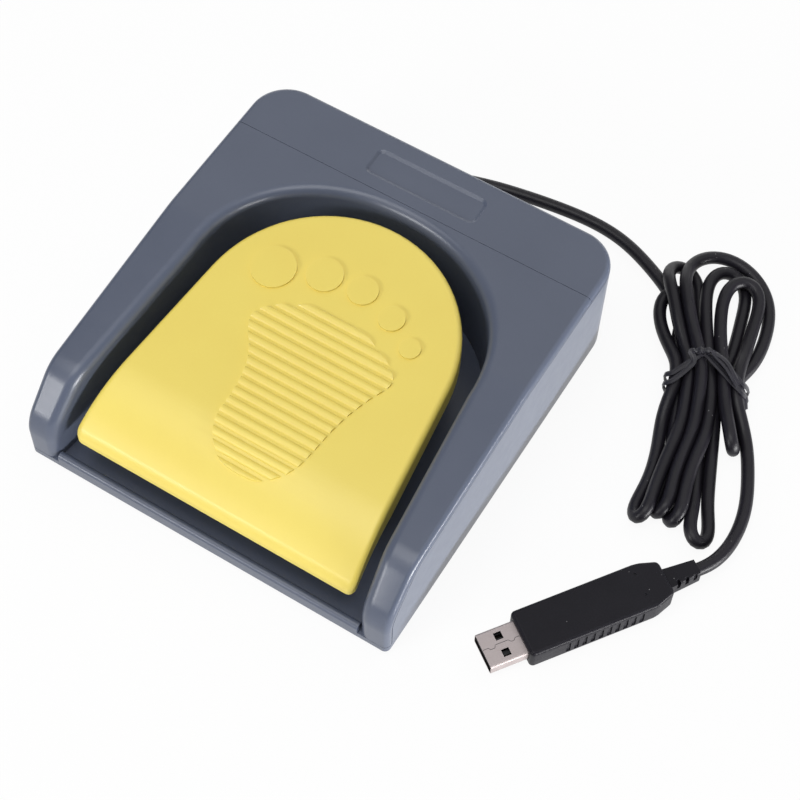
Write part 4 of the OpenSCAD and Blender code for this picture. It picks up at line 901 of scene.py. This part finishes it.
innerLead = {
    "jacket": [(-28, 70, 9), (-28, 65, 9), (-27.4, 61, 9), (-25, 56, 8.8), (-22, 51, 8.3), (-17, 44, 8),
               (-12.6, 37, 8.1), (-9.6, 32, 9)],
    "jacketSize": 3.4, "jacketSides": 16, "jacketStep": 1.2,
    "wireSize": 0.95, "wireSides": 10, "wireStep": 0.8,
    "start": (-9.6, 32.6, 9.0), "fan": (-7.4, 25.5, 11.0), "pin": (-6.0, 13.6, 12.6),
    "bundle": 0.55, "bundleAt": 0.3, "bundleTurn": 0.6, "pitch": 1.8, "spread": (0.35, 0.8),
    "fanLift": 0.5, "beforePin": (5.0, 0.4), "bows": (0.6, -0.5, 0.4, -0.3),
    "wires": ["partRed", "partWhite", "wireGreen", "partBlack"],
}
greenWireLook = dict(redPartLook, deep=srgb(30, 98, 52), pale=srgb(42, 120, 66), rubAndSheenTone=srgb(92, 160, 108))
finishes["wireGreen"] = plasticFinish("wireGreen", greenWireLook)


def makeInnerLead():
    jacket = sweepSection("innerLead", smoothPath(innerLead["jacket"], innerLead["jacketStep"]),
                          circleSection(innerLead["jacketSize"] / 2, innerLead["jacketSides"]))
    jacket.data.materials.append(finishes["cordBlack"])
    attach(jacket, "housing")
    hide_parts("inner_lead")
    start, fan, pin = (np.array(innerLead[key]) for key in ("start", "fan", "pin"))
    bundle, ahead = innerLead["bundle"], innerLead["bundleAt"]
    close, wide = innerLead["spread"]
    section = circleSection(innerLead["wireSize"] / 2, innerLead["wireSides"])
    for k, (finish, bow) in enumerate(zip(innerLead["wires"], innerLead["bows"])):
        off = (k - (len(innerLead["wires"]) - 1) / 2) * innerLead["pitch"]
        turn = k * math.pi / 2 + innerLead["bundleTurn"]
        path = smoothPath([start + (bundle * math.cos(turn), ahead, bundle * math.sin(turn)),
                           start * 0.5 + fan * 0.5 + (close * off, 0, bow),
                           fan + (wide * off, 0, innerLead["fanLift"] + bow),
                           pin + (off, *innerLead["beforePin"]), pin + (off, 0, 0)], innerLead["wireStep"])
        wire = sweepSection("leadWire." + str(k + 1), path, section)
        wire.data.materials.append(finishes[finish])
        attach(wire, "housing")


makeInnerLead()
print("springs and inner lead made")


# pieces dressed from the CAD nodes: merged, edges broken, smooth shading

def roundEdges(piece, chosen, width, segments):
    pick(piece)
    bpy.ops.object.mode_set(mode="EDIT")
    bpy.ops.mesh.select_mode(type="EDGE")
    bpy.ops.mesh.select_all(action="DESELECT")
    bpy.ops.object.mode_set(mode="OBJECT")
    points = piece.data.vertices
    for edge in piece.data.edges:
        edge.select = chosen(*(points[i].co / mm for i in edge.vertices))
    bpy.ops.object.mode_set(mode="EDIT")
    bpy.ops.mesh.bevel(offset=width * mm, offset_type="OFFSET", segments=segments,
                       profile=0.5, clamp_overlap=False)
    bpy.ops.object.mode_set(mode="OBJECT")


plug = {
    "start": (100.1, -48.2), "height": 4.6, "length": 50.0, "thick": 9.0, "inward": 0.5,
    "caseRounding": 1.3, "caseSide": 5.2, "caseEnd": 0.6, "caseFlat": 0.05,  # limits that find the rims
    "cornerAt": 8, "cornerSide": 5.5, "cornerTall": 3, "cornerLean": 0.02,
    "bootRounding": 0.9, "bootStart": 1.6, "bootLong": 0.5, "bootUp": 2.65, "bootSide": 2.5,
}
plugTurn = Matrix.Rotation(math.radians(-plugAngle), 3, "Z")


def toPlug(point):
    return plugTurn @ (point - Vector((*plug["start"], plug["height"])))


def caseRim(a, b):  # the outer rim of the case's top or bottom, and its upright corners behind
    a, b = toPlug(a), toPlug(b)
    middle = (a + b) / 2
    beyond = middle.x < plug["caseEnd"] or middle.x > plug["length"] - plug["caseEnd"]
    flat = min(abs(a.z), abs(b.z)) > plug["thick"] / 2 - plug["caseFlat"]
    rear = middle.x > plug["length"] - plug["cornerAt"] and abs(middle.y) > plug["cornerSide"]
    upright = (a - b).xy.length < plug["cornerLean"] and abs(a.z - b.z) > plug["cornerTall"]
    return (upright and rear) or (flat and (abs(middle.y) > plug["caseSide"] or beyond))


def bootRim(a, b):  # the strain relief's four long edges
    a, b = toPlug(a), toPlug(b)
    inside = min(a.x, b.x) > plug["length"] - plug["bootStart"] and abs(a.x - b.x) > plug["bootLong"]
    return inside and min(abs(a.z), abs(b.z)) > plug["bootUp"] and min(abs(a.y), abs(b.y)) > plug["bootSide"]


dressing = {"merge": 0.000004, "flat": 0.3, "bevelOver": 28, "segments": 2, "smooth": 24, "weight": 80}


def dressNode(nodeName, pieceName, finish, slotName, edge):
    source = nodes[nodeName]
    pick(source)
    bpy.ops.object.duplicate()
    piece = bpy.context.active_object
    piece.name = pieceName
    piece.data.name = pieceName
    del piece["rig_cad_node"]
    bpy.ops.object.mode_set(mode="EDIT")
    bpy.ops.mesh.select_all(action="SELECT")
    bpy.ops.mesh.remove_doubles(threshold=dressing["merge"])
    bpy.ops.mesh.dissolve_limited(angle_limit=math.radians(dressing["flat"]))
    bpy.ops.object.mode_set(mode="OBJECT")
    if piece.data.has_custom_normals:
        bpy.ops.mesh.customdata_custom_splitnormals_clear()
    if pieceName in softRims:
        roundEdges(piece, *softRims[pieceName])
    applyModifier(piece, "BEVEL", width=edge * mm, segments=dressing["segments"], limit_method="ANGLE",
                  angle_limit=math.radians(dressing["bevelOver"]), use_clamp_overlap=True)
    pick(piece)
    bpy.ops.object.shade_smooth_by_angle(angle=math.radians(dressing["smooth"]))
    applyModifier(piece, "WEIGHTED_NORMAL", keep_sharp=True, weight=dressing["weight"])
    piece.data.materials.clear()
    piece.data.materials.append(finishes[finish])
    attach(piece, bodyOf[nodeName])
    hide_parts(nodeName)
    return piece


softRims = {  # which edges, rounding in mm, segments
    "plugTop": (caseRim, plug["caseRounding"], 4), "plugBottom": (caseRim, plug["caseRounding"], 4),
    "plugBoot": (bootRim, plug["bootRounding"], 3),
}
dressed = [  # node, piece, finish, slot, broken edge in mm
    ("top_frame", "topFrame", "housingGrey", "housing", 0.15),
    ("rear_cover", "rearCover", "housingGrey", "housing", 0.1),
    ("base_shell", "baseShell", "housingGrey", "housing", 0.25),
    ("pedal", "pedalPlate", "pedalYellow", "pedal", 0.25),
    ("rubber_feet", "rubberFeet", "footRubber", "rubber", 0.3),
    ("cord_boot", "exitBoot", "plugBlack", "black_plastic", 0.15),
    ("plug_case_upper", "plugTop", "plugBlack", "black_plastic", 0.12),
    ("plug_case_lower", "plugBottom", "plugBlack", "black_plastic", 0.12),
    ("plug_boot", "plugBoot", "plugBlack", "black_plastic", 0.15),
    ("plug_shell", "plugShell", "shellSteel", "plated", 0.06),
    ("plug_tongue", "plugTongue", "partBlack", "black_plastic", 0.1),
]
dress = {row[1]: dressNode(*row) for row in dressed}


def paintShadeInMouth(shell):  # painted shade: the shell's inner walls, seen only through its mouth and windows, take a near-black copy of the steel
    shell.data.materials.append(finishes["shellInsidePaintedShade"])
    for face in shell.data.polygons:
        middle, facing = toPlug(face.center / mm), plugTurn @ face.normal
        inward = middle.y * facing.y + middle.z * facing.z < 0
        if inward and abs(facing.x) < plug["inward"]:
            face.material_index = 1


paintShadeInMouth(dress["plugShell"])
print("dressed:", ", ".join(dress))


# the folded shell's seam: a hair line with a locking tab, laid in its top

seam = {
    "wide": 0.16, "rise": 2.255, "sunk": 0.02, "proud": 0.008, "parts": 6,
    "route": [(-12.4, 0.3), (-10.6, 0.3), (-10.1, -0.4), (-8.7, -0.4), (-8.2, 0.5), (-6.0, 0.5),
              (-3.9, 0.5), (-3.2, -0.3), (-2.2, -0.3), (-1.6, 0.4), (-0.1, 0.4)],
}


def makeSeam():
    turn, start = plugTurn.transposed(), Vector((*plug["start"], plug["height"]))
    route = [turn @ Vector((u, v, seam["rise"])) + start for u, v in seam["route"]]
    parts = seam["parts"]
    fine = [a.lerp(b, t / parts) for a, b in zip(route, route[1:]) for t in range(parts)] + [route[-1]]
    half, low, high = seam["wide"] / 2, -seam["sunk"], seam["proud"]
    line = sweepSection("shellSeam", fine, [(-half, low), (half, low), (half, high), (-half, high)],
                        [(0, 0, 1)] * len(fine))
    line.data.materials.append(finishes["partBlack"])
    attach(line, bodyOf["plug_shell"])
    return line


shellSeam = makeSeam()


# nodes whose own mesh is right

keptFinish = {
    "housing_screws": "plainSteel", "hinge_pin": "plainSteel", "pin_rings": "plainSteel",
    "circuit_board": "boardGreen", "board_screws": "plainSteel", "switch_case": "partBlack",
    "switch_plunger": "partRed", "switch_terminals": "contactBrass", "controller_chip": "partBlack",
    "crystal_can": "plainSteel", "capacitors": "ceramic", "cable_header": "partWhite",
    "plug_contacts": "plugContact", "plug_board": "boardGreen",
}
for nodeName, finish in keptFinish.items():
    mesh = nodes[nodeName].data
    mesh.materials.clear()
    mesh.materials.append(finishes[finish])
